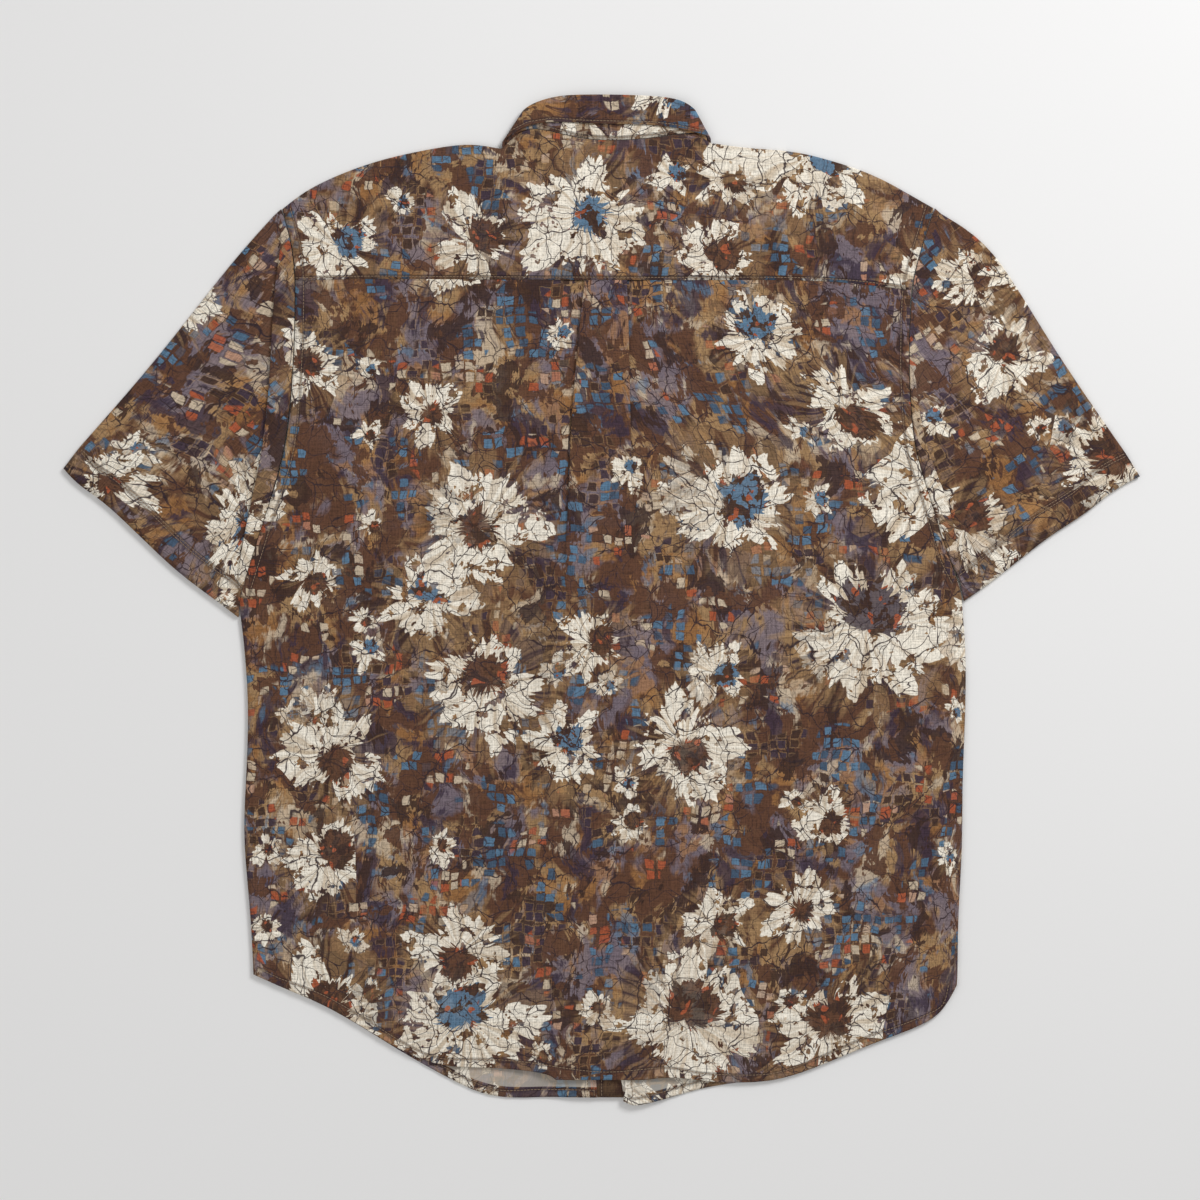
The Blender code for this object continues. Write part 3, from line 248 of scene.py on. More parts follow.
# Soft creases of the upper layer, each a ridge along a line: ends, half width and height
CREASE_START, CREASE_END = (-0.1, 0.3), (0.7, 1.1)  # shares of its line over which it rises and dies out
CREASES = table(
    "x0 y0 x1 y1 width height",
    (-30, 60, -48, -230, 15, 2.0), (22, 40, 40, -160, 13, 1.7), (-240, 150, -150, 30, 16, 1.8),
    (-250, 80, -205, -40, 13, 1.4), (240, 150, 165, 20, 16, 1.9), (262, 60, 222, -60, 13, 1.4),
    (-284, -40, -282, -250, 11, 1.6), (288, -60, 286, -270, 11, 1.6), (-215, -225, -90, -310, 17, 1.6),
    (120, -250, 225, -330, 16, 1.5), (-120, 245, -60, 120, 14, 1.3), (110, 240, 70, 110, 14, 1.3),
    (-300, 140, -395, 95, 13, 1.6), (-330, 190, -420, 120, 12, 1.2), (310, 150, 395, 100, 13, 1.6),
    (320, 90, 365, 60, 11, 1.3),
)

# The collar's stations in order round the neck, from the left end over the back to the right end:
# the seam to the shirt, the fold at the top, the share of the way from the front layer to the back
# layer, and the share of the way to the inner of the two lapped ends
STAND = table(
    "seam_x seam_y fold_x fold_y level lap",
    (24.0, 307.2, 20.0, 341.0, 0.0, 0.0), (1.5, 306.8, 1.5, 343.0, 0.0, 0.0),
    (-25.0, 309.0, -20.0, 347.0, 0.0, 0.0), (-52.0, 316.0, -38.0, 357.0, 0.0, 0.0),
    (-71.5, 330.0, -52.0, 372.0, 0.0, 0.0), (-79.5, 350.0, -60.5, 391.0, 0.0, 0.0),
    (-80.6, 378.0, -64.9, 411.5, 0.0, 0.0), (-81.6, 388.5, -66.0, 414.5, 0.5, 0.0),
    (-79.8, 392.5, -64.6, 418.0, 1.0, 0.0), (-70.0, 398.0, -57.0, 423.0, 1.0, 0.0),
    (-56.5, 402.0, -44.0, 427.2, 1.0, 0.0), (-35.0, 396.5, -30.0, 429.3, 1.0, 0.0),
    (-15.7, 391.4, -12.0, 429.7, 1.0, 0.0), (15.7, 390.2, 15.0, 429.7, 1.0, 0.0),
    (47.0, 393.1, 42.0, 428.6, 1.0, 0.0), (63.0, 396.0, 60.0, 427.0, 1.0, 0.0),
    (79.0, 397.5, 71.0, 423.5, 1.0, 0.0), (87.8, 395.5, 76.6, 419.0, 1.0, 0.0),
    (89.8, 393.0, 78.6, 416.0, 0.5, 0.0), (88.8, 380.0, 77.5, 412.5, 0.0, 0.0),
    (87.3, 352.0, 72.5, 391.0, 0.0, 0.0), (79.5, 331.0, 64.0, 372.0, 0.0, 0.0),
    (60.0, 316.0, 48.0, 357.0, 0.0, 0.2), (33.0, 309.0, 29.0, 347.0, 0.0, 1.0),
    (6.1, 306.8, 6.1, 343.0, 0.0, 1.0), (-11.0, 307.5, -9.0, 341.5, 0.0, 1.0),
)

# The outer edge of the collar fall, from the left point round the back to the right point
FALL_EDGE = table(
    "x y level",
    (-40.0, 280.0, 0.0), (-53.0, 294.0, 0.0), (-65.0, 310.0, 0.0), (-76.0, 334.0, 0.0),
    (-82.6, 358.0, 0.0), (-83.6, 376.0, 0.0), (-84.9, 388.0, 0.5), (-83.0, 390.5, 1.0),
    (-75.0, 397.0, 1.0), (-62.0, 403.6, 1.0), (-42.0, 406.7, 1.0), (-15.0, 404.8, 1.0),
    (15.0, 404.0, 1.0), (43.0, 403.5, 1.0), (62.0, 401.2, 1.0), (77.0, 397.8, 1.0), (91.4, 394.5, 1.0),
    (93.4, 391.5, 0.5), (92.0, 380.0, 0.0), (91.0, 358.0, 0.0), (84.5, 334.0, 0.0), (73.0, 310.0, 0.0),
    (61.0, 294.0, 0.0), (48.0, 280.0, 0.0),
)


def ramp(low, high, value):
    """0 up to low, 1 from high, and smooth between them, for a number or an array."""
    share = np.clip((value - low) / (high - low), 0.0, 1.0)
    return share * share * (3 - 2 * share)


def unit(way):
    return way / np.linalg.norm(way)


def column(rows, key, value, at):
    """The value column of a table, read at a place in its key column, straight between its rows."""
    pairs = sorted((getattr(row, key), getattr(row, value)) for row in rows)
    return float(np.interp(at, [pair[0] for pair in pairs], [pair[1] for pair in pairs]))


class Line:
    """A smooth curve through a table's x and y, read by its share of length or by a coordinate."""

    def __init__(self, rows, shift=(0.0, 0.0)):
        points = np.array([(row.x, row.y) for row in rows], float) + shift
        run = [2 * points[0] - points[1], *points, 2 * points[-1] - points[-2]]
        dense = []
        for a, b, c, d in zip(run, run[1:], run[2:], run[3:]):
            for t in np.linspace(0, 1, LINE_STEPS, endpoint=False):
                bend = (2 * a - 5 * b + 4 * c - d) * t * t + (3 * b - a - 3 * c + d) * t**3
                dense.append(0.5 * (2 * b + (c - a) * t + bend))
        dense.append(points[-1])
        self.points = np.array(dense)
        steps = np.linalg.norm(np.diff(self.points, axis=0), axis=1)
        self.shares = np.concatenate([[0.0], np.cumsum(steps)]) / steps.sum()

    def at(self, share):
        return np.array([np.interp(share, self.shares, self.points[:, axis]) for axis in (0, 1)])

    def read(self, key, other, value):
        order = np.argsort(self.points[:, key])
        return float(np.interp(value, self.points[order, key], self.points[order, other]))

    def x_at(self, y):
        return self.read(1, 0, y)

    def y_at(self, x):
        return self.read(0, 1, x)

    def share_at_y(self, y):
        order = np.argsort(self.points[:, 1])
        return float(np.interp(y, self.points[order, 1], self.shares[order]))


def patch(bottom, top, left, right, across, along):
    """A grid of x and y inside four edges, each a function over 0 to 1."""
    grid = np.zeros((len(along), len(across), 2))
    for i, v in enumerate(along):
        for j, u in enumerate(across):
            sides = (1 - u) * left(v) + u * right(v)
            ends = (1 - v) * bottom(u) + v * top(u)
            corners = (1 - u) * (1 - v) * bottom(0) + u * (1 - v) * bottom(1)
            corners = corners + (1 - u) * v * top(0) + u * v * top(1)
            grid[i, j] = sides + ends - corners
    return grid


def collar_zone(x, y, spare):
    """1 where the collar points lie under the fronts, 0 well clear of them."""
    reach = math.hypot((x - CENTRE_X) / COLLAR_REACH_X, (y - COLLAR_MID_Y) / COLLAR_REACH_Y)
    return 1 - ramp(1.0 + COLLAR_MORE[0] * spare, COLLAR_FAR + COLLAR_MORE[1] * spare, reach)


def placket_zone(x, spare):
    """1 over the placket and its buttons, 0 well clear of them."""
    near, far = PLACKET_NEAR + PLACKET_MORE[0] * spare, PLACKET_FAR + PLACKET_MORE[1] * spare
    return 1 - ramp(near, far, abs(x - PLACKET_MID_X))


def lower_mid(x, y, spare=0.0):
    """Height of the middle of the layer that rests on the surface, or with spare, room over it."""
    collar, placket = collar_zone(x, y, spare), placket_zone(x, spare)
    return 0.5 * CLOTH + BUTTON_ROOM * (collar + placket - collar * placket)


def inner_mid(x, y, spare=0.0):
    """The same where the right front laps over the placket."""
    return lower_mid(x, y, spare) + PLY * placket_zone(x, spare)


def crease_rise(rows, x, y):
    """How high a table's soft ridges stand at each x and y, both arrays."""
    rise = np.zeros(len(x))
    for crease in rows:
        run_x, run_y = crease.x1 - crease.x0, crease.y1 - crease.y0
        length = math.hypot(run_x, run_y)
        share = ((x - crease.x0) * run_x + (y - crease.y0) * run_y) / length**2
        off = np.abs((x - crease.x0) * run_y - (y - crease.y0) * run_x) / length
        fade = ramp(*CREASE_START, share) * (1 - ramp(*CREASE_END, share))
        rise += crease.height * fade * np.exp(-((off / crease.width) ** 2))
    return rise


def upper_mid(x, y):
    """Height of the middle of the layer on top."""
    return inner_mid(x, y, spare=1.0) + LAYER_STEP


def tuck_path(tuck, turn):
    """A fold's middle line as steps outward and up: round one bend, back under, round the other."""
    angle = math.radians(turn)
    bend = 0.5 * math.pi * PLY / BEND_STEPS
    first = [angle * (step + 0.5) / BEND_STEPS for step in range(BEND_STEPS)]
    steps = [(bend, heading) for heading in first]
    steps.append((tuck, angle))
    steps += [(bend, heading) for heading in reversed(first)]
    path = [(0.0, 0.0)]
    for length, heading in steps:
        out, up = path[-1]
        path.append((out + length * math.cos(heading), up - length * math.sin(heading)))
    return path


def tuck_drop(tuck, turn):
    return -tuck_path(tuck, turn)[-1][1]


def tuck_at(rows, share):
    return [column(rows, "share", value, share) for value in ("strip", "tuck", "turn")]


class Sheet:
    """A surface of quads, sewn from grids whose shared edges have the same points."""

    def __init__(self, rows, **marks):
        self.points, self.faces, self.index = [], [], {}
        self.plies, self.rises, self.spares = [], [], []
        self.grid(rows, **marks)

    def corner(self, point, ply, rise, spare):
        key = tuple(round(float(value), KEY_DIGITS) for value in point)
        if key not in self.index:
            self.index[key] = len(self.points)
            self.points.append([float(value) for value in point])
            self.plies.append(ply)
            self.rises.append(rise)
            self.spares.append(spare)
        return self.index[key]

    def grid(self, rows, hems=None, rises=None, spares=None, ring=False):
        """Adds a grid of points.

        hems says for each row whether the cloth is doubled there, rises how far each point takes part in
        the creases, and spares how much cloth lies hidden in folds before it.
        """
        hems = hems or [False] * len(rows)
        rises = rises or [[1.0] * len(rows[0])] * len(rows)
        spares = spares or [[0.0] * len(rows[0])] * len(rows)
        ids = [
            [
                self.corner(point, 1.0 if hem else CLOTH / HEM_CLOTH, rise, spare)
                for point, rise, spare in zip(row, rise_row, spare_row)
            ]
            for row, hem, rise_row, spare_row in zip(rows, hems, rises, spares)
        ]
        count = len(rows[0])
        for low, high in zip(ids, ids[1:]):
            for j in range(count if ring else count - 1):
                k = (j + 1) % count
                self.faces.append((low[j], low[k], high[k], high[j]))


def spare_cloth(rows):
    """For each point of each row, the cloth's length along the row beyond its run in x."""
    spares = []
    for row in rows:
        spare, run = [0.0], 0.0
        for low, high in zip(row, row[1:]):
            run += math.dist(low, high) - (high[0] - low[0])
            spare.append(run)
        spares.append(spare)
    return spares


def body_rows():
    """Shares up a panel, past its hem, side, armpit and armhole, and whether each lies on the hem."""
    stitch = BODY_HEM / PANEL_LENGTH
    after = (BODY_HEM + HEM_CLOTH) / PANEL_LENGTH
    side_rows = np.linspace(after, ARMHOLE_SHARE, SIDE_ROWS)[:-1]
    upper_rows = np.linspace(ARMHOLE_SHARE, 1.0, ARMHOLE_ROWS)
    along = [0.0, stitch, *side_rows, *ARMPIT_SHARES, *upper_rows]
    return along, HEM_ROWS + [False] * (len(along) - len(HEM_ROWS))


def placket_edge(y):
    """The placket's inner edge, which leans right below the last button."""
    return PLACKET_EDGE_X + PLACKET_LEAN * ramp(0, OPENING_LONG, LAST_BUTTON_Y - y)


def right_front_edge(y):
    """The right front's edge, which opens away from the placket below the last button."""
    return RIGHT_EDGE_X + RIGHT_OPENING * ramp(0, OPENING_LONG, LAST_BUTTON_Y - y)


def back_sheet():
    """The back, its edges at the side seams and armholes, with the box pleat below the yoke."""
    arm_left = [row for row in ARMHOLE_LEFT if row.y < BACK_CORNERS_Y[0]]
    arm_right = [row for row in ARMHOLE_RIGHT if row.y < BACK_CORNERS_Y[1]]
    left = Line([*SIDE_LEFT, *arm_left], (SEW_IN, 0))
    right = Line([*SIDE_RIGHT, *arm_right], (-SEW_IN, 0))
    top = Line(YOKE_SEAM, (0, -SEAM_GAP / 2))
    bottom = Line(BACK_HEM, (0, 0.5))
    centre = BACK_ACROSS.index(0.5)
    along, hems = body_rows()
    flat = patch(bottom.at, top.at, left.at, right.at, BACK_ACROSS, along)
    rows = []
    for i, hem in enumerate(hems):
        rise = HEM_RISE if hem else 0.0
        y_mid = flat[i, centre, 1]
        values = [column(PLEAT, "y", value, y_mid) for value in ("left", "right", "tuck", "turn")]
        left_edge, right_edge, tuck, turn = values
        path = tuck_path(tuck, turn)
        drop = -path[-1][1]
        fold_left = left_edge + 0.5 * (PLY + CLOTH)
        fold_right = right_edge - 0.5 * (PLY + CLOTH)
        folds = [(fold_left - out, up) for out, up in reversed(path)]
        folds.append((0.5 * (fold_left + fold_right), 0.0))
        folds += [(fold_right + out, up) for out, up in path]
        pleat = [(x, y_mid, upper_mid(x, y_mid) + drop + up + rise) for x, up in folds]
        plain = [(x, y, upper_edge_mid(x, y) + rise) for x, y in flat[i]]
        rows.append(plain[:centre] + pleat + plain[centre + 1 :])
    return Sheet(rows, hems=hems, spares=spare_cloth(rows))


def armhole_lift(x, y):
    """How far the sleeve's tuck lifts the back beside each armhole."""
    if x < 0:
        line, rows = ARMHOLE_LINES["left"], SLEEVE_TUCK_LEFT
    else:
        line, rows = ARMHOLE_LINES["right"], SLEEVE_TUCK_RIGHT
    share = 1 - line.share_at_y(y)
    _, tuck, turn = tuck_at(rows, share)
    near = 1 - ramp(2, ARMHOLE_FADE, abs(line.x_at(y) - x))
    inside = ramp(-ARMHOLE_FOOT, 0, y - line.points[0, 1])
    return tuck_drop(tuck, turn) * near * inside


def upper_edge_mid(x, y):
    return upper_mid(x, y) + armhole_lift(x, y)


def pleat_lift(x, y):
    """How far the box pleat lifts the yoke at its seam."""
    top = PLEAT[0]
    beside = max(top.left - x, x - top.right, 0.0)
    above = y - YOKE_SEAM[0].y
    fade = (1 - ramp(0, PLEAT_FADE_X, beside)) * (1 - ramp(0, PLEAT_FADE_Y, above))
    return tuck_drop(top.tuck, top.turn) * fade


def bend_points(start, outward, radius, up=False):
    """Three points round a folded edge, from the end of one layer to the end of the other."""
    sign = 1 if up else -1
    points = []
    for degrees in (45, 90, 135):
        angle = math.radians(degrees)
        out = radius * math.sin(angle)
        rise = sign * radius * (1 - math.cos(angle))
        points.append((start[0] + outward[0] * out, start[1] + outward[1] * out, start[2] + rise))
    return points


def yoke_sheet():
    """The yoke: one piece over the back, both shoulder folds and down to the front yoke seams."""
    arm_left, arm_right = ARMHOLE_LINES["left"], ARMHOLE_LINES["right"]
    seam = Line(YOKE_SEAM, (0, SEAM_GAP / 2))
    fold_left = Line(SHOULDER_LEFT, (0, -FOLD_INSET))
    fold_right = Line(SHOULDER_RIGHT, (0, -FOLD_INSET))
    neck = [(row.seam_x, row.seam_y - 2 * SEAM_GAP) for row in STAND if row.level == 1.0]
    neck[0] = (neck[0][0] + NECK_EASE, neck[0][1] - 4 * NECK_EASE)
    neck[-1] = (neck[-1][0] - NECK_EASE, neck[-1][1] - 4 * NECK_EASE)
    shares = np.linspace(0, 1, YOKE_STATIONS)
    tops = [fold_left.at(share) for share in shares]
    tops += [np.array(point) for point in neck]
    tops += [fold_right.at(share) for share in shares]
    last_left, first_right = len(shares) - 1, len(shares) + len(neck)
    tops[0][0] = arm_left.x_at(tops[0][1]) + SEAM_GAP
    tops[-1][0] = arm_right.x_at(tops[-1][1]) - SEAM_GAP
    x_low, x_high = tops[0][0], tops[-1][0]
    rows = []
    for v in np.linspace(0, 1, YOKE_ROWS):
        row = []
        for top in tops:
            u = (top[0] - x_low) / (x_high - x_low)
            foot_x = seam.points[0, 0] + u * (seam.points[-1, 0] - seam.points[0, 0])
            foot = np.array([foot_x, seam.y_at(foot_x)])
            x, y = (1 - v) * foot + v * top
            bulge_left = arm_left.x_at(y) - np.interp(y, [foot[1], top[1]], [seam.points[0, 0], x_low])
            bulge_right = arm_right.x_at(y) - np.interp(y, [foot[1], top[1]], [seam.points[-1, 0], x_high])
            x += (1 - u) ** BULGE_FADE * (bulge_left + SEAM_GAP) + u**BULGE_FADE * (bulge_right - SEAM_GAP)
            row.append((x, y, upper_edge_mid(x, y) + pleat_lift(x, y)))
        rows.append(row)
    sheet = Sheet(rows)
    flaps = (
        (0, last_left, Line(FRONT_YOKE_LEFT, (0, SEAM_GAP)), arm_left, SEAM_GAP),
        (first_right, len(tops) - 1, Line(FRONT_YOKE_RIGHT, (0, SEAM_GAP)), arm_right, -SEAM_GAP),
    )
    for first, last, front_seam, arm, gap in flaps:
        flap = [rows[-1][first : last + 1]]
        bends = [bend_points(top, (0.0, 1.0), 0.5 * (top[2] - lower_mid(*top[:2]))) for top in flap[0]]
        flap += zip(*bends)
        count = last - first
        for v in np.linspace(0, 1, FLAP_ROWS):
            row = []
            for j, top in enumerate(flap[0]):
                share = j / count
                foot = front_seam.at(share)
                x, y = (1 - v) * np.array(top[:2]) + v * foot
                if j == (0 if gap > 0 else count):
                    x = arm.x_at(y) + gap
                row.append((x, y, lower_mid(x, y)))
            flap.append(row)
        below = [[0.0] * len(flap[0])] * (len(flap) - 1)
        sheet.grid(flap, rises=[[1.0] * len(flap[0]), *below])
    return sheet


def front_sheet(side, arm, front_yoke, hem, edge_x, height):
    """One front: side seam and armhole on one edge, centre front on the other."""
    outward = 1 if side[0].x > 0 else -1
    arm_rows = [row for row in arm if row.y < FRONT_CORNER_Y]
    outer = Line([*side, *arm_rows], (-SEW_IN * outward, 0))
    neck = [
        (row.seam_x, row.seam_y)
        for row in STAND
        if row.level == 0.0 and row.seam_y < COLLAR_MID_Y and row.seam_x * outward > 0
    ]
    top_rows = [(row.x, row.y - SEAM_GAP) for row in front_yoke]
    centre = np.array([CENTRE_X, NECK_MIDDLE_Y])
    moved = []
    for point in neck:
        ray = np.array(point) - centre
        moved.append(centre + ray * (1 + NECK_GAP / np.linalg.norm(ray)))
    moved.sort(key=lambda point: -abs(point[0] - CENTRE_X))
    top_rows.sort(key=lambda point: -abs(point[0]))
    neck_end = Place(edge_x(NECK_END_Y), NECK_END_Y)
    yoke_line = Line([Place(*point) for point in top_rows])
    moved = [point for point in moved if abs(point[0] - neck_end.x) > NECK_CLEAR and point[1] < NECK_SIDE_Y]
    neck_rows = [Place(*point) for point in moved]
    neck_line = Line([Place(*top_rows[-1]), *neck_rows, neck_end])

    def top(share):
        if share < YOKE_CORNER:
            return yoke_line.at(share / YOKE_CORNER)
        return neck_line.at((share - YOKE_CORNER) / (1 - YOKE_CORNER))

    start, end = hem[0], hem[-1]
    bottom_rows = hem if abs(start.x) > abs(end.x) else list(reversed(hem))
    bottom = Line(bottom_rows, (0, 0.5))
    foot = bottom.points[-1]

    def inner(share):
        y = foot[1] + share * (neck_end.y - foot[1])
        return np.array([edge_x(y) + (foot[0] - edge_x(foot[1])) * (1 - share), y])

    along, hems = body_rows()
    flat = patch(bottom.at, top, outer.at, inner, FRONT_ACROSS, along)
    rows = [
        [(x, y, height(x, y) + (HEM_RISE if hem_row else 0.0)) for x, y in flat_row]
        for flat_row, hem_row in zip(flat, hems)
    ]
    return Sheet(rows, hems=hems)


def placket_sheet():
    """The band on the left front's edge, which carries the buttonholes."""
    z = 0.5 * CLOTH + BUTTON_ROOM
    across = (0.0, 0.5, 1.0)
    stations = np.linspace(FRONT_HEM_LEFT[-1].y + PLACKET_START, NECK_END_Y, PLACKET_ROWS)
    return Sheet([[(placket_edge(y) + PLACKET_WIDE * u, y, z) for u in across] for y in stations])


def sleeve_line(arm, tucks, top_line, end, u, outward, folded):
    """The plan points of one line down a sleeve from the armhole to the cuff, and its fold's path."""
    on_top_fold = u == 0.0
    reach, lean = UNDERARM_RUN if u == 1.0 else (1.0, TOP_FOLD_LEAN if on_top_fold else 0.0)
    seam = arm.at(1 - u) + (outward * SEW_IN, -FOLD_INSET if on_top_fold else 0.0)
    strip, tuck, turn = tuck_at(tucks, u)
    path = tuck_path(tuck, turn) if folded else tuck_path(PLAIN_TUCK, 0)
    start = seam + (outward * strip * reach, -strip * lean)
    points = [seam, *(start + (outward * out * reach, -out * lean) for out, _ in path)]
    begin = points[-1]
    run = end - begin
    hem = min(CUFF_HEM / np.linalg.norm(run), MOST_HEM_SHARE)
    inset = np.multiply(TOP_FOLD_SQUARE, (outward * FOLD_INSET, FOLD_INSET))
    for share in [row * (1 - hem) for row in SLEEVE_ROWS] + [1 - hem - HEM_STEP, 1 - hem, 1.0]:
        if on_top_fold:
            along = top_line.share_at_y(begin[1]) * (1 - share) + share
            points.append(top_line.at(along) - inset)
        else:
            points.append(begin + run * share)
    return points, path


def sleeve_heights(points, path, u):
    """The heights of one line of a sleeve's upper layer, and how far its points share in the creases."""
    high = upper_edge_mid(*points[0])
    flat_edge = 1 - min(min(u, 1 - u) / FLAT_EDGE, 1.0)
    heights = [high, *(high + up for _, up in path)]
    rises = [1.0] * len(heights)
    for k in range(1, len(points) - len(path)):
        away = ramp(0, SETTLE_ROWS, k)
        heights.append((high + path[-1][1]) * (1 - away) + away * (0.5 * CLOTH + LAYER_STEP))
        rises.append(1 - away * flat_edge)
    return heights, rises


def sleeve_spares(points, folds, outward):
    """The cloth hidden in the tuck before each point of a line down a sleeve."""
    spares = [0.0]
    for k, (low, high) in enumerate(zip(points, points[1:]), start=1):
        run = high[0] - low[0]
        length = math.dist(low, high) if k <= folds else abs(run)
        spares.append(spares[-1] + outward * length - run)
    return spares


def sleeve_sheet(arm, tucks, top_rows, cuff_rows, across):
    """A sleeve: a flattened tube from the armhole to the cuff, tucked under itself at the armhole."""
    outward = -1 if arm.points[0, 0] < 0 else 1
    top_line, cuff = Line(top_rows), Line(cuff_rows)
    upper, lower, shares, spares = [], [], [], []
    for u, cuff_share in zip(across, CUFF_ACROSS):
        points, path = sleeve_line(arm, tucks, top_line, cuff.at(cuff_share), u, outward, True)
        under, _ = sleeve_line(arm, tucks, top_line, cuff.at(cuff_share), u, outward, False)
        rises = [0.0] * (len(points) - 2) + [HEM_RISE, HEM_RISE]
        heights, share = sleeve_heights(points, path, u)
        upper.append([(x, y, z + rise) for (x, y), z, rise in zip(points, heights, rises)])
        lower.append([(x, y, lower_mid(x, y) + rise) for (x, y), rise in zip(under, rises)])
        shares.append(share)
        spares.append(sleeve_spares(upper[-1], len(path), outward))
    rows, share_rows, spare_rows = [], [], []
    for k in range(len(upper[0])):
        ring = [line[k] for line in upper]
        low_ring = [line[k] for line in lower]
        near_way = unit(np.subtract(ring[0][:2], ring[1][:2]))
        far_way = unit(np.subtract(ring[-1][:2], ring[-2][:2]))
        near_radius = 0.5 * (ring[0][2] - low_ring[0][2])
        far_radius = 0.5 * (ring[-1][2] - low_ring[-1][2])
        far_bend = bend_points(ring[-1], far_way, far_radius)
        near_bend = bend_points(low_ring[0], near_way, near_radius, up=True)
        rows.append(ring + far_bend + low_ring[::-1] + near_bend)
        above = [line[k] for line in spares]
        share_rows.append([line[k] for line in shares] + [0.0] * (len(rows[-1]) - len(ring)))
        spare_rows.append(above + above[-1:] * len(far_bend) + above[::-1] + above[:1] * len(near_bend))
    hems = [False] * (len(rows) - len(HEM_ROWS)) + HEM_ROWS
    return Sheet(rows, hems=hems, rises=share_rows, spares=spare_rows, ring=True)


def stand_seam(row):
    return np.array([row.seam_x, row.seam_y])


def stand_fold(row):
    return np.array([row.fold_x, row.fold_y])


def stations_near(index):
    return STAND[max(index - 1, 0) : index + 2]


def stand_height(row, x, y):
    front = 0.5 * CLOTH + BUTTON_ROOM + row.lap * PLY
    return (1 - row.level) * front + row.level * upper_mid(x, y)


def fold_way(index):
    """The way out of the collar's top fold at a station, square to the fold except at the two sides."""
    rise = stand_fold(STAND[index]) - stand_seam(STAND[index])
    near = stations_near(index)
    if all(row.level in (0.0, 1.0) for row in near):
        run = unit(stand_fold(near[-1]) - stand_fold(near[0]))
        rise = rise - run * (rise @ run)
    return unit(rise)


def stand_sheet():
    """The band round the neck, its two ends lapped at the centre front."""
    rows = []
    for index, station in enumerate(STAND):
        behind = all(row.level == 1.0 for row in stations_near(index))
        top = stand_fold(station) - fold_way(index) * (FOLD_INSET + (SEAM_GAP if behind else SIDE_GAP))
        row = []
        for share in (0.0, 0.5, 1.0):
            x, y = (1 - share) * stand_seam(station) + share * top
            row.append((x, y, stand_height(station, x, y)))
        rows.append(row)
    return Sheet(rows)


def fall_sheet():
    """The collar, turned down over the stand at its top fold."""
    rows = []
    for index, edge in enumerate(FALL_EDGE, start=1):
        station = STAND[index]
        fold = stand_fold(station)
        way = fold_way(index)
        start = fold - way * FOLD_INSET
        tilt = math.pi * (station.level - 0.5)
        sideways = (-1 if fold[0] < CENTRE_X else 1) * math.cos(tilt)
        outward = np.array([sideways, 0.0, math.sin(tilt)])
        base = np.array([*start, stand_height(station, *start)])
        radius = FALL_RADIUS + SIDE_RADIUS * (1 - abs(2 * station.level - 1))
        if station.level == 0.0:
            radius = 0.5 * (base[2] - PLY)
        row = [tuple(base)]
        for degrees in (45, 90, 135, 180):
            angle = math.radians(degrees)
            rise = np.array([*way, 0.0]) * radius * math.sin(angle)
            row.append(tuple(base + rise + outward * radius * (1 - math.cos(angle))))
        turned = np.array(row[-1])
        end_high = upper_mid(edge.x, edge.y) + FALL_LIFT
        end_z = (1 - edge.level) * 0.5 * CLOTH + edge.level * end_high
        end = np.array([edge.x, edge.y, end_z])
        row += [tuple(turned + (end - turned) * share) for share in FALL_ROWS]
        rows.append(row)
    return Sheet(rows)


ARMHOLE_LINES = {"left": Line(ARMHOLE_LEFT), "right": Line(ARMHOLE_RIGHT)}

# The stage, in metres: the photograph's view is straight from above
VIEW_WIDTH = 1.02
VIEW_X, VIEW_Y = -0.0013, 0.0004
SENSOR = 36.0  # in millimetres
FARTHEST = 20.0
FLOOR_SIZE = 40.0
FLOOR_Z = -0.0005
SKY = (1.0, 0.99, 0.98, 1.0)
LAMPS = table(
    "name x y z wide deep watts",
    ("key_light", 1.5, 1.7, 1.8, 1.0, 1.0, 48.0),
    ("fill_light", -1.6, -0.8, 2.2, 2.0, 2.0, 12.0),
)

# Soft creases too small for the solids
SMALL_CREASES = table(
    "x0 y0 x1 y1 width height",
    (-30, 262, -42, 40, 7, 0.8), (34, 262, 46, 95, 8, 0.7), (-70, 255, -92, 150, 9, 0.7),
    (82, 250, 118, 120, 10, 0.8), (-150, 250, -176, 110, 9, 0.6), (165, 245, 190, 60, 11, 0.8),
    (-225, 230, -205, 60, 8, 0.9), (-238, 150, -190, -20, 9, 0.9), (-262, 40, -180, 10, 7, 0.7),
    (-280, -10, -190, -48, 8, 0.8), (-285, -70, -205, -95, 7, 0.6), (262, 60, 200, 10, 8, 0.8),
    (285, 0, 196, -52, 9, 0.9), (292, -55, 214, -112, 8, 0.7), (240, 190, 232, 40, 8, 0.8),
    (-120, 20, -158, -160, 12, 0.7), (-40, -40, -64, -230, 11, 0.6), (60, 0, 92, -190, 12, 0.7),
    (150, -60, 128, -260, 11, 0.6), (230, -120, 246, -290, 10, 0.8), (-220, -130, -252, -300, 10, 0.8),
    (-150, -250, -98, -372, 9, 0.7), (10, -250, 22, -400, 9, 0.6), (120, -290, 168, -360, 9, 0.7),
    (-292, -180, -232, -216, 7, 0.6), (296, -190, 240, -232, 7, 0.6), (-100, 380, -60, 300, 9, 0.6),
    (118, 378, 84, 292, 9, 0.6), (-214, 330, -170, 285, 8, 0.6), (226, 326, 196, 282, 8, 0.6),
    (-30, 385, -20, 300, 8, 0.5), (-300, 250, -385, 120, 9, 0.9), (-330, 150, -400, 60, 9, 0.7),
    (-285, 120, -330, 20, 7, 0.8), (300, 250, 388, 130, 9, 0.9), (330, 140, 404, 66, 9, 0.7),
    (284, 130, 330, 20, 7, 0.8),
)

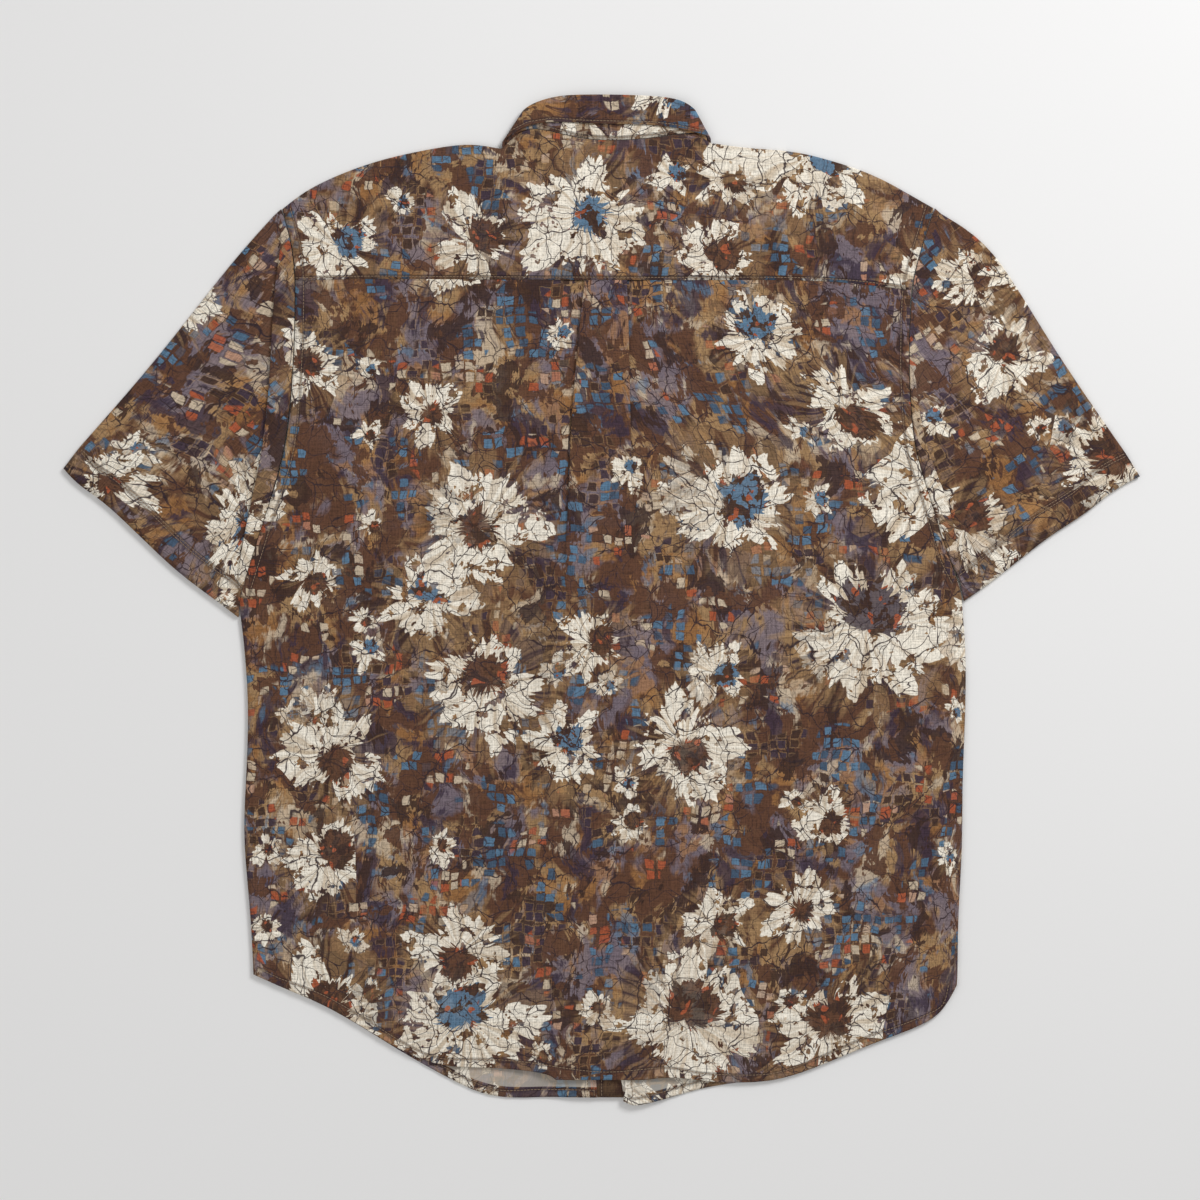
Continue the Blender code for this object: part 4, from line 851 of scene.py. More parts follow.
# The print, in metres. Washes lie over each other in this order; low is where the noise starts to show
WASHES = table(
    "dye move size low soft strength rough",
    ("tan", 3.1, 0.050, 0.46, 0.10, 0.80, 0.08),
    ("grey purple", 9.4, 0.060, 0.48, 0.10, 0.85, 0.08),
    ("ochre", 1.9, 0.034, 0.53, 0.09, 0.70, 0.10),
    ("pale tan", 7.7, 0.042, 0.57, 0.08, 0.75, 0.14),
    ("plum", 5.2, 0.046, 0.55, 0.06, 0.85, 0.14),
    ("steel blue", 11.7, 0.034, 0.62, 0.08, 0.55, 0.12),
    ("dark brown", 6.6, 0.036, 0.57, 0.015, 0.92, 0.16),
    ("brown", 4.2, 0.030, 0.55, 0.015, 0.95, 0.16),
)

# Patches of small squares; pick and drop leave some squares out
DAB_PITCH = 0.0092
DAB_PATCHES = table(
    "dye other rim move size low pick drop",
    ("plum", "dark brown", "tan", 2.3, 0.06, 0.58, 0, 0.3),
    ("steel blue", "dark blue", "dark brown", 12.3, 0.05, 0.57, 1, 0.45),
    ("rust", "pale tan", "dark brown", 7.3, 0.045, 0.61, 0, 0.5),
)

# Blooms of three sizes: share is how many cells hold one, blue how few have a blue middle
BLOOMS = table(
    "pitch radius share teeth blue break_size broken move",
    (0.075, 0.014, 0.46, 2.6, 0.35, 0.008, 0.36, 3.7),
    (0.110, 0.031, 0.50, 4.0, 0.75, 0.012, 0.40, 1.3),
    (0.155, 0.050, 0.62, 5.0, 0.85, 0.016, 0.41, 0.0),
)

# Cell size and line width of the crackle
VEINS = ((0.014, 0.00042), (0.029, 0.00062))

# The finer parts of the print
WASH_DETAIL, WASH_ROUGH = 3.0, 0.66  # of the noise that a wash is made of
BRISTLE = 0.0018  # between the hairs of a brush mark
OWN_NOISE = 40.0  # how far apart in the noise two blooms read their outlines
SQUARE_HALF, RIM_HALF = 0.47, 0.54  # half the size of a square and of its rim, as shares of the pitch
EDGE_SOFT = 0.05  # of a square's edge
RIM_SHARE, SQUARE_SHARE = 0.4, 0.92  # how strongly the rims and the squares are dyed
HALO_SHARE, CORE_SHARE = 0.4, 0.88  # the same for the rays round a bloom and for its middle
SPECK = 0.0018  # size of a speck where the dye took unevenly
GAIN_MOST = 1.35  # of the print's brightness
THREAD_FINE, THREAD_LONG = 1400.0, 60.0  # slubs in a metre, across the threads and along them
RUMPLE = 0.03  # size of the cloth's soft unevenness

# Rows of stitches, by how far each lies from its edge, and the size of one stitch
HEM_STITCH = 6.8
CUFF_STITCHES = (20.4, 22.8)
ARMHOLE_STITCH = 7.0
EDGE_STITCH = 2.4
PLACKET_STITCH = 4.0
SIDE_STITCHES = (8.0, 2.4)
PANEL_LOW, PANEL_HIGH = -421.0, 303.0
STITCH_PITCH = 2.9
STITCH_LONG = 2.3
STITCH_WIDE = 0.6
STITCH_HIGH = 0.22
STITCH_SUNK = 0.08
CROWN_SHARES = (0.2, 0.8)  # along a stitch, the ends of its raised part
CROWN_WIDE = 0.6
RAY_START = 0.03
STITCH_TOP = ((4, 6, 7, 5), (0, 4, 5, 1), (2, 3, 7, 6), (0, 2, 6, 4), (1, 5, 7, 3))

Seam = namedtuple("Seam", "side path")

# Which way each piece's printed face looks where the piece is highest
FACE_UP = ("back", "yoke", "collar_stand", "collar_fall")
FACE_DOWN = ("front_left", "front_right", "placket")

# Puckers along a stitched hem, and how far a seam's painted shade and groove spread, in metres in the
# shader
PUCKER_HIGH = 0.28
PUCKER_PITCH = 13.0
PUCKER_REACH = 9.0
PUCKER_WANDER = 1.7  # how far the waves' pitch wanders
PUCKER_WAVES = (31.0, 47.0, 23.0)
NO_SEAM = 1.0
SEAM_HALF = 0.0007
SEAM_SOFT = 0.0006

# How the distances from a line are measured
POINTS_AT_ONCE = 4000
LINE_PITCH = 2.0
UPRIGHT_POINTS = 60
AHEAD = 0.25  # of a pitch, to the point that gives a line's way
PAST_END = 12.0  # how far from a line a point past its end counts as lying, at least

# Finishes
THREAD_SHADE = 0.6  # of the thread's colour, as painted shade between its strands
THREAD_TWIST = 0.0008  # in metres
MOTTLE_SHADE = 0.45  # of the buttons' colour, where they are darkest
HEM_WEIGHT = 0.9  # the ply weight above which a face is part of a turned-up hem
HEMMED = ("back", "front_left", "front_right", "sleeve_left", "sleeve_right")
PLACKET_PLAIN = 0.75  # how far plain dark cloth hides the print inside the placket


def linear(red, green, blue):
    """A shader colour from a screen colour given in 0 to 255."""
    shares = [value / 255 for value in (red, green, blue)]
    return [*(share / 12.92 if share < 0.04 else ((share + 0.055) / 1.055) ** 2.4 for share in shares), 1.0]


class Nodes:
    """Short calls that add shader nodes and join them up."""

    def __init__(self, tree):
        self.tree = tree

    def add(self, kind, inputs=(), **settings):
        node = self.tree.nodes.new(kind)
        for name, value in settings.items():
            setattr(node, name, value)
        for name, value in dict(inputs).items():
            self.feed(node.inputs[name], value)
        return node

    def feed(self, socket, value):
        if isinstance(value, bpy.types.NodeSocket):
            self.tree.links.new(value, socket)
        else:
            socket.default_value = value

    def math(self, operation, *values):
        return self.add("ShaderNodeMath", enumerate(values), operation=operation).outputs[0]

    def both(self, *masks):
        """The product of some masks or values."""
        product = masks[0]
        for mask in masks[1:]:
            product = self.math("MULTIPLY", product, mask)
        return product

    def vector(self, operation, *values):
        node = self.add("ShaderNodeVectorMath", enumerate(values), operation=operation)
        return node.outputs["Value" if operation in ("LENGTH", "DOT_PRODUCT") else "Vector"]

    def moved(self, place, x, y):
        return self.vector("ADD", place, (x, y, 0.0))

    def noise(self, place, size, detail=2.0, rough=0.55, output="Fac"):
        """Noise with features of about the given size in metres."""
        inputs = {"Vector": place, "Scale": 1 / size, "Detail": detail, "Roughness": rough}
        return self.add("ShaderNodeTexNoise", inputs, noise_dimensions="2D").outputs[output]

    def bent(self, place, size, reach):
        """The place moved about by soft noise, by up to about half the reach in metres."""
        wander = self.noise(place, size, 1.0, output="Color")
        return self.vector("MULTIPLY_ADD", wander, (reach, reach, 0.0), place)

    def cells(self, place, size, randomness=1.0, **settings):
        inputs = {"Vector": place, "Scale": 1 / size, "Randomness": randomness}
        return self.add("ShaderNodeTexVoronoi", inputs, voronoi_dimensions="2D", **settings).outputs

    def step(self, value, low, high):
        """0 below low, 1 above high, smooth between."""
        inputs = {"Value": value, "From Min": low, "From Max": high}
        return self.add("ShaderNodeMapRange", inputs, interpolation_type="SMOOTHSTEP").outputs[0]

    def under(self, value, limit, soft):
        """1 where the value is under the limit, 0 above it."""
        inputs = {"Value": value, "From Min": limit, "From Max": limit - soft}
        return self.add("ShaderNodeMapRange", inputs).outputs[0]

    def blend(self, share, low, high):
        node = self.add("ShaderNodeMix", data_type="RGBA")
        for name, value in (("Factor_Float", share), ("A_Color", low), ("B_Color", high)):
            socket = next(item for item in node.inputs if item.identifier == name)
            self.feed(socket, value)
        return next(item for item in node.outputs if item.identifier == "Result_Color")

    def bump(self, height, strength, distance, **more):
        """Raises the surface by up to the distance in metres."""
        inputs = {"Height": height, "Strength": strength, "Distance": distance, **more}
        return self.add("ShaderNodeBump", inputs)

    def parts(self, colour):
        return self.add("ShaderNodeSeparateColor", {"Color": colour}).outputs

    def vector_of(self, x, y):
        return self.add("ShaderNodeCombineXYZ", {"X": x, "Y": y}).outputs[0]


def add_washes(nodes, place, dyes):
    """The ground: brown broken by ragged washes and brush marks, from large to small."""
    streak = nodes.vector("MULTIPLY", nodes.bent(place, 0.05, 0.03), (1.0, 0.75, 1.0))
    bristle = nodes.noise(nodes.vector("MULTIPLY", streak, (1.0, 0.4, 1.0)), BRISTLE, 1.0)
    ground = dyes["brown"]
    for wash in WASHES:
        spot = nodes.moved(streak, wash.move, 2.3 * wash.move)
        amount = nodes.noise(spot, wash.size, WASH_DETAIL, WASH_ROUGH)
        amount = nodes.math("MULTIPLY_ADD", bristle, wash.rough, amount)
        low = wash.low + 0.5 * wash.rough
        mask = nodes.step(amount, low, low + wash.soft)
        ground = nodes.blend(nodes.both(mask, wash.strength), ground, dyes[wash.dye])
    return ground


def add_dabs(nodes, place, ground, dyes):
    """Patches of small uneven squares in rows, in a few colours."""
    moved = nodes.bent(place, 0.03, DAB_PITCH)
    cell = nodes.cells(moved, DAB_PITCH, 0.3, feature="F1", distance="CHEBYCHEV")
    own = nodes.parts(cell["Color"])
    edge = nodes.noise(place, 0.003, 1.0, 0.6)
    reach = nodes.math("MULTIPLY_ADD", edge, 0.16, cell["Distance"])
    shape = nodes.under(reach, SQUARE_HALF, EDGE_SOFT)
    rim = nodes.under(reach, RIM_HALF, EDGE_SOFT)
    for patch in DAB_PATCHES:
        area = nodes.noise(nodes.moved(place, patch.move, patch.move), patch.size, 1.0, 0.5)
        some = nodes.step(own[patch.pick], patch.drop, patch.drop + 0.02)
        chosen = nodes.both(nodes.step(area, patch.low, patch.low + 0.03), some)
        dye = nodes.blend(nodes.step(own[2], 0.3, 0.7), dyes[patch.dye], dyes[patch.other])
        ground = nodes.blend(nodes.both(rim, chosen, RIM_SHARE), ground, dyes[patch.rim])
        ground = nodes.blend(nodes.both(shape, chosen, SQUARE_SHARE), ground, dye)
    return ground


def add_blooms(nodes, place, ground, dyes, bloom):
    """Ragged pale blooms with dark broken middles; also gives the mask of their pale parts."""
    place = nodes.bent(nodes.moved(place, bloom.move, bloom.move), 0.03, 0.22 * bloom.radius)
    cell = nodes.cells(place, bloom.pitch, 0.9, feature="F1")
    own = nodes.parts(cell["Color"])
    away = nodes.vector("MULTIPLY", nodes.vector("SUBTRACT", place, cell["Position"]), (1.0, 1.0, 0.0))
    radius = nodes.vector("LENGTH", away)
    way = nodes.vector("NORMALIZE", away)
    shift = nodes.vector_of(nodes.both(own[0], OWN_NOISE), nodes.both(own[1], OWN_NOISE))
    here = nodes.step(own[0], 1 - bloom.share, 1 - bloom.share + 0.01)
    full = nodes.math("MULTIPLY_ADD", own[1], 0.5 * bloom.radius, 0.7 * bloom.radius)
    lobes = nodes.noise(nodes.vector("MULTIPLY_ADD", way, (1.3,) * 3, shift), 1.0, 1.0, 0.5)
    teeth = nodes.noise(nodes.vector("MULTIPLY_ADD", way, (bloom.teeth,) * 3, shift), 1.0, 2.0, 0.7)
    wide = nodes.math("MULTIPLY_ADD", lobes, 1.7, -0.34)
    reach = nodes.both(full, nodes.math("ADD", wide, nodes.both(teeth, 0.75)))
    petal = nodes.step(nodes.math("SUBTRACT", reach, radius), 0.0, 0.0012)
    slope = nodes.vector("DOT_PRODUCT", way, nodes.vector("SUBTRACT", cell["Color"], (0.5, 0.5, 0.5)))
    core = nodes.both(full, nodes.math("ADD", nodes.both(teeth, 0.62), nodes.both(slope, 0.8)))
    opened = nodes.step(nodes.math("SUBTRACT", radius, core), 0.0, 0.001)
    broken = nodes.noise(nodes.moved(place, 8.0, 1.0), bloom.break_size, 3.0, 0.7)
    whole = nodes.step(broken, bloom.broken, bloom.broken + 0.015)
    halo = nodes.both(full, nodes.math("MULTIPLY_ADD", teeth, 1.5, 0.6))
    round_it = nodes.both(here, nodes.step(nodes.math("SUBTRACT", halo, radius), 0.0, 0.01))
    rays = nodes.blend(nodes.step(teeth, 0.42, 0.56), dyes["dark brown"], dyes["tan"])
    ground = nodes.blend(nodes.both(round_it, HALO_SHARE), ground, rays)
    inside = nodes.both(here, nodes.math("SUBTRACT", 1.0, opened))
    blue = nodes.step(own[2], bloom.blue, bloom.blue + 0.01)
    middle = nodes.blend(blue, dyes["brown"], dyes["steel blue"])
    middle = nodes.blend(nodes.step(broken, 0.47, 0.5), dyes["dark brown"], middle)
    touch = nodes.step(nodes.noise(nodes.moved(place, 4.0, 9.0), 0.7 * bloom.break_size, 1.0), 0.66, 0.70)
    middle = nodes.blend(touch, middle, dyes["rust"])
    ground = nodes.blend(nodes.both(inside, CORE_SHARE), ground, middle)
    shade = nodes.blend(nodes.step(teeth, 0.3, 0.62), dyes["pale tan"], dyes["cream"])
    mask = nodes.both(petal, opened, whole, here)
    return nodes.blend(mask, ground, shade), mask


def add_veins(nodes, place, ground, dyes, pale):
    """Thin dark crackle lines, strongest over the pale cloth."""
    area = nodes.step(nodes.noise(nodes.moved(place, 6.0, 6.0), 0.04, 1.0, 0.5), 0.42, 0.56)
    shown = nodes.math("MULTIPLY_ADD", nodes.math("MAXIMUM", area, pale), 0.5, 0.45)
    moved = nodes.bent(nodes.bent(place, 0.03, 0.02), 0.007, 0.004)
    for size, width in VEINS:
        edge = nodes.cells(nodes.moved(moved, size, size), size, feature="DISTANCE_TO_EDGE")["Distance"]
        line = nodes.under(edge, width / size, 0.6 * width / size)
        ground = nodes.blend(nodes.both(line, shown), ground, dyes["line"])
    return ground


def thread_gain(nodes, place, weave):
    """How bright each spot is: slubs in the threads, and specks where the dye took unevenly."""
    specks = nodes.noise(nodes.moved(place, 5.0, 8.0), SPECK, 2.0, 0.75)
    gain = nodes.math("MULTIPLY_ADD", weave, 0.9, nodes.math("MULTIPLY_ADD", specks, 1.1, -0.38))
    return nodes.math("MINIMUM", gain, GAIN_MOST)


def darker(colour, share):
    return (*(share * part for part in colour[:3]), 1.0)


def dye_colours():
    settings = bpy.context.scene.shirt_print
    return {name.replace("_", " "): tuple(getattr(settings, name)) for name in settings.__annotations__}


def stitch_lines_and_painted_shade(nodes):
    """1 on the stitched seams, falling to 0 beside them, and the wider band of painted shade that they lie
    in.
    """
    away = nodes.add("ShaderNodeUVMap", uv_map="SeamAway").outputs[0]
    across = nodes.add("ShaderNodeSeparateXYZ", {"Vector": away}).outputs
    off = nodes.math("MINIMUM", nodes.math("ABSOLUTE", across[0]), nodes.math("ABSOLUTE", across[1]))
    line = nodes.under(off, SEAM_HALF + SEAM_SOFT, SEAM_SOFT)
    return line, nodes.under(off, 3 * SEAM_HALF, 2 * SEAM_HALF)


def new_finish(name):
    """A new material, the calls that add to its nodes, and its shader."""
    finish = bpy.data.materials.new(name)
    finish.use_nodes = True
    return finish, Nodes(finish.node_tree), finish.node_tree.nodes["Principled BSDF"]


def print_material(name, wrong_side):
    """Printed plain-weave cotton; wrong_side is how far the dyes fade towards bare cloth."""
    if name in bpy.data.materials:
        return bpy.data.materials[name]
    dyes = dye_colours()
    finish, nodes, shader = new_finish(name)
    place = nodes.add("ShaderNodeUVMap", uv_map="ClothCut").outputs[0]
    colour = add_washes(nodes, place, dyes)
    if name == "placket_inside":
        colour = nodes.blend(PLACKET_PLAIN, colour, dyes["dark brown"])
    else:
        colour = add_dabs(nodes, place, colour, dyes)
        pale = 0.0
        for bloom in BLOOMS:
            colour, mask = add_blooms(nodes, place, colour, dyes, bloom)
            pale = nodes.math("MAXIMUM", pale, mask)
        colour = add_veins(nodes, place, colour, dyes, pale)
    weft, warp = (
        nodes.noise(nodes.vector("MULTIPLY", place, (*threads, 1.0)), 1.0, 1.0, 0.5)
        for threads in ((THREAD_LONG, THREAD_FINE), (THREAD_FINE, THREAD_LONG))
    )
    weave = nodes.math("ADD", weft, warp)
    colour = nodes.vector("MULTIPLY", colour, thread_gain(nodes, place, weave))
    if wrong_side:
        colour = nodes.blend(wrong_side, colour, dyes["cream"])
    line, shade = stitch_lines_and_painted_shade(nodes)
    # Painted shade: a band along each stitched seam is darkened towards the line dye, where a groove's
    # shadow would fall.
    colour = nodes.blend(nodes.math("MULTIPLY", shade, 0.5), colour, dyes["line"])
    rumple = nodes.noise(nodes.moved(place, 1.0, 2.0), RUMPLE, 3.0, 0.5)
    bump = nodes.bump(weave, 0.12, 0.0004)
    bump = nodes.bump(rumple, 0.5, 0.003, Normal=bump.outputs[0])
    bump = nodes.bump(line, 0.6, 0.0008, Normal=bump.outputs[0])
    bump.invert = True
    nodes.feed(shader.inputs["Base Color"], colour)
    nodes.feed(shader.inputs["Normal"], bump.outputs[0])
    shader.inputs["Roughness"].default_value = 0.88
    shader.inputs["Specular IOR Level"].default_value = 0.25
    shader.inputs["Sheen Weight"].default_value = 0.08
    return finish


def colour_property(label, text, red, green, blue):
    shade = linear(red, green, blue)
    return bpy.props.FloatVectorProperty(
        name=label, description=text, default=shade, size=4, min=0.0, max=1.0, subtype="COLOR"
    )


def number_property(label, text, start, low, high, **kind):
    return bpy.props.FloatProperty(name=label, description=text, default=start, min=low, max=high, **kind)


class ClothSettings(bpy.types.PropertyGroup):
    """How thick and how creased the cloth is, and the colours of its thread and buttons."""

    hem_thickness: number_property(
        "Hem thickness",
        "Thickness of the shell where a hem is turned up; single cloth is two thirds of it",
        0.9 * MM,
        0.3 * MM,
        1.5 * MM,
        precision=5,
        unit="LENGTH",
    )
    crease_scale: number_property(
        "Small creases", "How high the small creases stand, as a share of their table", 1.4, 0.0, 2.0
    )
    inside_fade: number_property(
        "Inside fade", "How far the print fades on the cloth's wrong side", 0.42, 0.05, 1.0
    )
    thread: colour_property("Thread", "The sewing thread", 158, 132, 104)
    button: colour_property("Button", "The plastic of the buttons", 74, 48, 34)


class PrintSettings(bpy.types.PropertyGroup):
    """The dyes of the print."""

    brown: colour_property("Brown", "The ground of the print", 88, 58, 42)
    dark_brown: colour_property("Dark brown", "The darker brush marks in the ground", 58, 38, 31)
    tan: colour_property("Tan", "The warm wash", 160, 128, 90)
    pale_tan: colour_property("Pale tan", "The shaded parts of the blooms", 190, 173, 150)
    cream: colour_property("Cream", "The blooms and the bare cloth", 228, 221, 207)
    ochre: colour_property("Ochre", "The second warm wash", 150, 106, 62)
    grey_purple: colour_property("Grey purple", "The cool wash", 112, 102, 112)
    plum: colour_property("Plum", "The darkest squares", 54, 42, 58)
    steel_blue: colour_property("Steel blue", "The lighter blue squares", 84, 116, 142)
    dark_blue: colour_property("Dark blue", "The darker blue squares", 60, 82, 104)
    rust: colour_property("Rust", "The small red-brown squares", 158, 80, 50)
    # Line is also the dye of the painted shade along the stitched seams.
    line: colour_property("Line", "The thin crackle lines", 50, 36, 40)


class StageSettings(bpy.types.PropertyGroup):
    """The floor, the light and the camera."""

    floor_tone: number_property("Floor tone", "How pale the floor is", 0.86, 0.1, 0.95)
    light_scale: number_property("Light", "Strength of the two soft lamps", 1.0, 0.0, 4.0)
    room_light: number_property("Room light", "Strength of the even light all round", 0.45, 0.0, 3.0)
    camera_height: number_property(
        "Camera height", "From the floor up to the camera", 3.0, 1.0, 8.0, unit="LENGTH"
    )


# Piece by piece, in metres and degrees: how the print lies on the cut cloth, then the cut of what shows,
# its area where that isn't the whole rectangle, and the pieces that it lies on
CUTS = {
    row.piece: row
    for row in table(
        "piece turn move_x move_y wide long area rests_on",
        ("back", 0.0, 0.0, 0.0, 0.66, 0.69, 0.39, ("front_left", "front_right", "placket")),
        ("yoke", 4.0, 0.9, 0.35, 0.56, 0.165, 0.075, ("back", "front_left", "front_right")),
        ("front_left", 0.0, 2.1, 1.3, 0.30, 0.77, 0.197, ()),
        ("front_right", 0.0, 3.4, 0.2, 0.32, 0.775, 0.215, ("placket",)),
        ("placket", 0.0, 5.2, 2.2, 0.035, 0.73, None, ()),
        ("sleeve_left", 38.0, 4.1, 3.3, 0.66, 0.27, 0.076, ()),
        ("sleeve_right", -36.0, 6.3, 0.9, 0.65, 0.27, 0.074, ()),
        ("collar_stand", 90.0, 7.4, 1.7, 0.50, 0.036, 0.0137, ("front_left", "front_right")),
        ("collar_fall", 90.0, 8.8, 2.9, 0.43, 0.065, 0.0143, ("collar_stand",)),
    )
}


def cut_place(piece, x, y, spare):
    """Print coordinates in metres for points of a piece, from its plan and the cloth hidden in folds."""
    cut = CUTS[piece]
    turn = math.radians(cut.turn)
    across, along = (x + spare) * MM, y * MM
    return (
        across * math.cos(turn) - along * math.sin(turn) + cut.move_x,
        across * math.sin(turn) + along * math.cos(turn) + cut.move_y,
    )


def turn_face(piece, shape):
    """Turns an open sheet so that its printed side is outside."""
    shape.normal_update()
    top = max(vertex.co.z for vertex in shape.verts)
    above = [face for face in shape.faces if face.calc_center_median().z > 0.5 * top]
    looks_up = sum(face.normal.z * face.calc_area() for face in above) > 0
    if (piece in FACE_UP and not looks_up) or (piece in FACE_DOWN and looks_up):
        bmesh.ops.reverse_faces(shape, faces=shape.faces)


def put(name, data):
    """A new object with the data, in the scene."""
    obj = bpy.data.objects.new(name, data)
    bpy.context.scene.collection.objects.link(obj)
    return obj


def draft_mesh(piece, sheet, levels):
    """The sheet as a fine open mesh, with its ply and crease weights and its print coordinates."""
    mesh = bpy.data.meshes.new(f"{piece}_cloth")
    mesh.from_pydata([tuple(value * MM for value in point) for point in sheet.points], [], sheet.faces)
    shape = bmesh.new()
    shape.from_mesh(mesh)
    bmesh.ops.recalc_face_normals(shape, faces=shape.faces)
    turn_face(piece, shape)
    shape.to_mesh(mesh)
    shape.free()
    cut = mesh.uv_layers.new(name="ClothCut")
    for loop in mesh.loops:
        x, y, _ = sheet.points[loop.vertex_index]
        cut.data[loop.index].uv = cut_place(piece, x, y, sheet.spares[loop.vertex_index])
    draft = put(mesh.name, mesh)
    for name, weights in (("plies", sheet.plies), ("rises", sheet.rises)):
        group = draft.vertex_groups.new(name=name)
        for index, weight in enumerate(weights):
            group.add([index], weight, "REPLACE")
    smooth_form = draft.modifiers.new("Smooth", "SUBSURF")
    smooth_form.levels = smooth_form.render_levels = levels
    smooth_form.boundary_smooth = "PRESERVE_CORNERS"
    smooth_form.uv_smooth = "PRESERVE_BOUNDARIES"
    return draft


def baked_mesh(obj):
    """The object's mesh with its modifiers applied."""
    graph = bpy.context.evaluated_depsgraph_get()
    seen = obj.evaluated_get(graph)
    mesh = bpy.data.meshes.new_from_object(seen, preserve_all_data_layers=True, depsgraph=graph)
    obj.modifiers.clear()
    obj.data = mesh
    return mesh


def points_of(mesh):
    points = np.empty(len(mesh.vertices) * 3)
    mesh.vertices.foreach_get("co", points)
    return points.reshape(-1, 3)


def weights_of(obj, name):
    group = obj.vertex_groups[name].index
    found = np.zeros(len(obj.data.vertices))
    for vertex in obj.data.vertices:
        for member in vertex.groups:
            if member.group == group:
                found[vertex.index] = member.weight
    return found


def hem_puckers(line, x, y):
    """Small uneven waves along a stitched hem, strongest on its stitches."""
    away = away_from(line, x, y)
    wander, slow_x, slow_y = PUCKER_WAVES
    wave = np.sin(2 * math.pi * x / PUCKER_PITCH + PUCKER_WANDER * np.sin(x / wander))
    wave = wave * np.sin(x / slow_x + y / slow_y)
    return PUCKER_HIGH * wave * np.exp(-((away / PUCKER_REACH) ** 2))


def show_hem_face(obj):
    """The turned-up side of a hem shows the printed face on the cloth's inside."""
    doubled = weights_of(obj, "plies") > HEM_WEIGHT
    for face in obj.data.polygons:
        if all(doubled[corner] for corner in face.vertices):
            face.material_index = 0


def inside_material(piece):
    """The cloth's wrong side; a collar is two layers with the face outside on both."""
    if piece in ("collar_stand", "collar_fall"):
        return print_material("printed_cotton_face", 0.0)
    if piece == "placket":
        return print_material("placket_inside", 0.0)
    return print_material("printed_cotton_inside", bpy.context.scene.shirt_cloth.inside_fade)


def cloth_shell(piece, sheet, levels):
    """A thin closed shell on the sheet's form, creased, with the print on both sides of the cloth."""
    settings = bpy.context.scene.shirt_cloth
    groups = seam_lines()[piece]
    obj = draft_mesh(piece, sheet, levels)
    mesh = baked_mesh(obj)
    points = points_of(mesh)
    x, y = points[:, 0] / MM, points[:, 1] / MM
    share = weights_of(obj, "rises")
    rise = crease_rise(CREASES, x, y) + settings.crease_scale * crease_rise(SMALL_CREASES, x, y)
    points[:, 2] += rise * share * MM
    if piece in HEMMED:
        points[:, 2] += hem_puckers(groups[0][0], x, y) * MM
    mesh.vertices.foreach_set("co", points.ravel())
    mesh.materials.append(print_material("printed_cotton_face", 0.0))
    mesh.materials.append(inside_material(piece))
    wall = obj.modifiers.new("Wall", "SOLIDIFY")
    wall.thickness = settings.hem_thickness
    wall.offset = 0.0
    wall.vertex_group = "plies"
    wall.use_rim = True
    wall.material_offset = 1
    mesh = baked_mesh(obj)
    if piece in HEMMED:
        show_hem_face(obj)
    obj.vertex_groups.clear()
    mark_seams(mesh, groups)
    mesh.shade_smooth()
    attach(obj, "root")
    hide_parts(piece)
    sewn = [stitch_mesh(obj, seam_paths(piece, groups))]


def shifted(points, offset):
    """A plan polyline moved sideways by an offset, to its left where that is above 0."""
    points = np.asarray(points, float)
    run = np.gradient(points, axis=0)
    run /= np.linalg.norm(run, axis=1)[:, None]
    return points + np.stack([-run[:, 1], run[:, 0]], axis=1) * offset


def evenly(points, pitch):
    """Points at an even pitch along a plan polyline, and the way that it runs at each."""
    steps = np.linalg.norm(np.diff(points, axis=0), axis=1)
    run = np.concatenate([[0.0], np.cumsum(steps)])
    marks = np.arange(0.5 * pitch, run[-1] - 0.5 * pitch, pitch)
    place, after = (
        np.stack([np.interp(marks + ahead, run, points[:, axis]) for axis in (0, 1)], axis=1)
        for ahead in (0.0, AHEAD * pitch)
    )
    way = after - place
    return place, way / np.linalg.norm(way, axis=1)[:, None]


def upright(x_of, low=PANEL_LOW, high=PANEL_HIGH):
    """A line up a front, at an x that may change with y."""
    return np.array([(x_of(y), y) for y in np.linspace(low, high, UPRIGHT_POINTS)])


def placket_line(inset):
    """A line up the placket's inner edge, moved right by an inset."""
    return upright(lambda y: placket_edge(y) + inset)


def edge_line(rows, inset):
    """A table's curve from left to right, moved up by an inset."""
    return shifted(Line(sorted(rows, key=lambda row: row.x)).points, inset)


def seam_lines():
    """Each piece's stitched lines in plan, in two groups: those at its hem or edge, then the others."""
    arm_left = shifted(Line(ARMHOLE_LEFT).points, -ARMHOLE_STITCH)
    arm_right = shifted(Line(ARMHOLE_RIGHT).points, ARMHOLE_STITCH)[::-1]
    arms = (arm_left, arm_right)
    fall = np.array([(row.x, row.y) for row in FALL_EDGE if row.level > 0.5])
    stand = np.array([(row.seam_x, row.seam_y) for row in STAND if row.level > 0.5])
    placket = [placket_line(inset) for inset in (PLACKET_STITCH, PLACKET_WIDE - PLACKET_STITCH)]
    cuff_left, cuff_right = (
        [shifted(Line(cuff).points, side * inset) for inset in CUFF_STITCHES]
        for cuff, side in ((CUFF_LEFT, 1), (CUFF_RIGHT, -1))
    )
    return {
        "back": ((edge_line(BACK_HEM, HEM_STITCH),), arms),
        "yoke": ((edge_line(YOKE_SEAM, EDGE_STITCH),), arms),
        "front_left": ((edge_line(FRONT_HEM_LEFT, HEM_STITCH),), (arm_left,)),
        "front_right": ((edge_line(FRONT_HEM_RIGHT, HEM_STITCH),), (arm_right,)),
        "placket": (placket[:1], placket[1:]),
        "sleeve_left": (cuff_left[:1], cuff_left[1:]),
        "sleeve_right": (cuff_right[:1], cuff_right[1:]),
        "collar_fall": ((shifted(fall, EDGE_STITCH),), ()),
        "collar_stand": ((shifted(stand, EDGE_STITCH),), ()),
    }


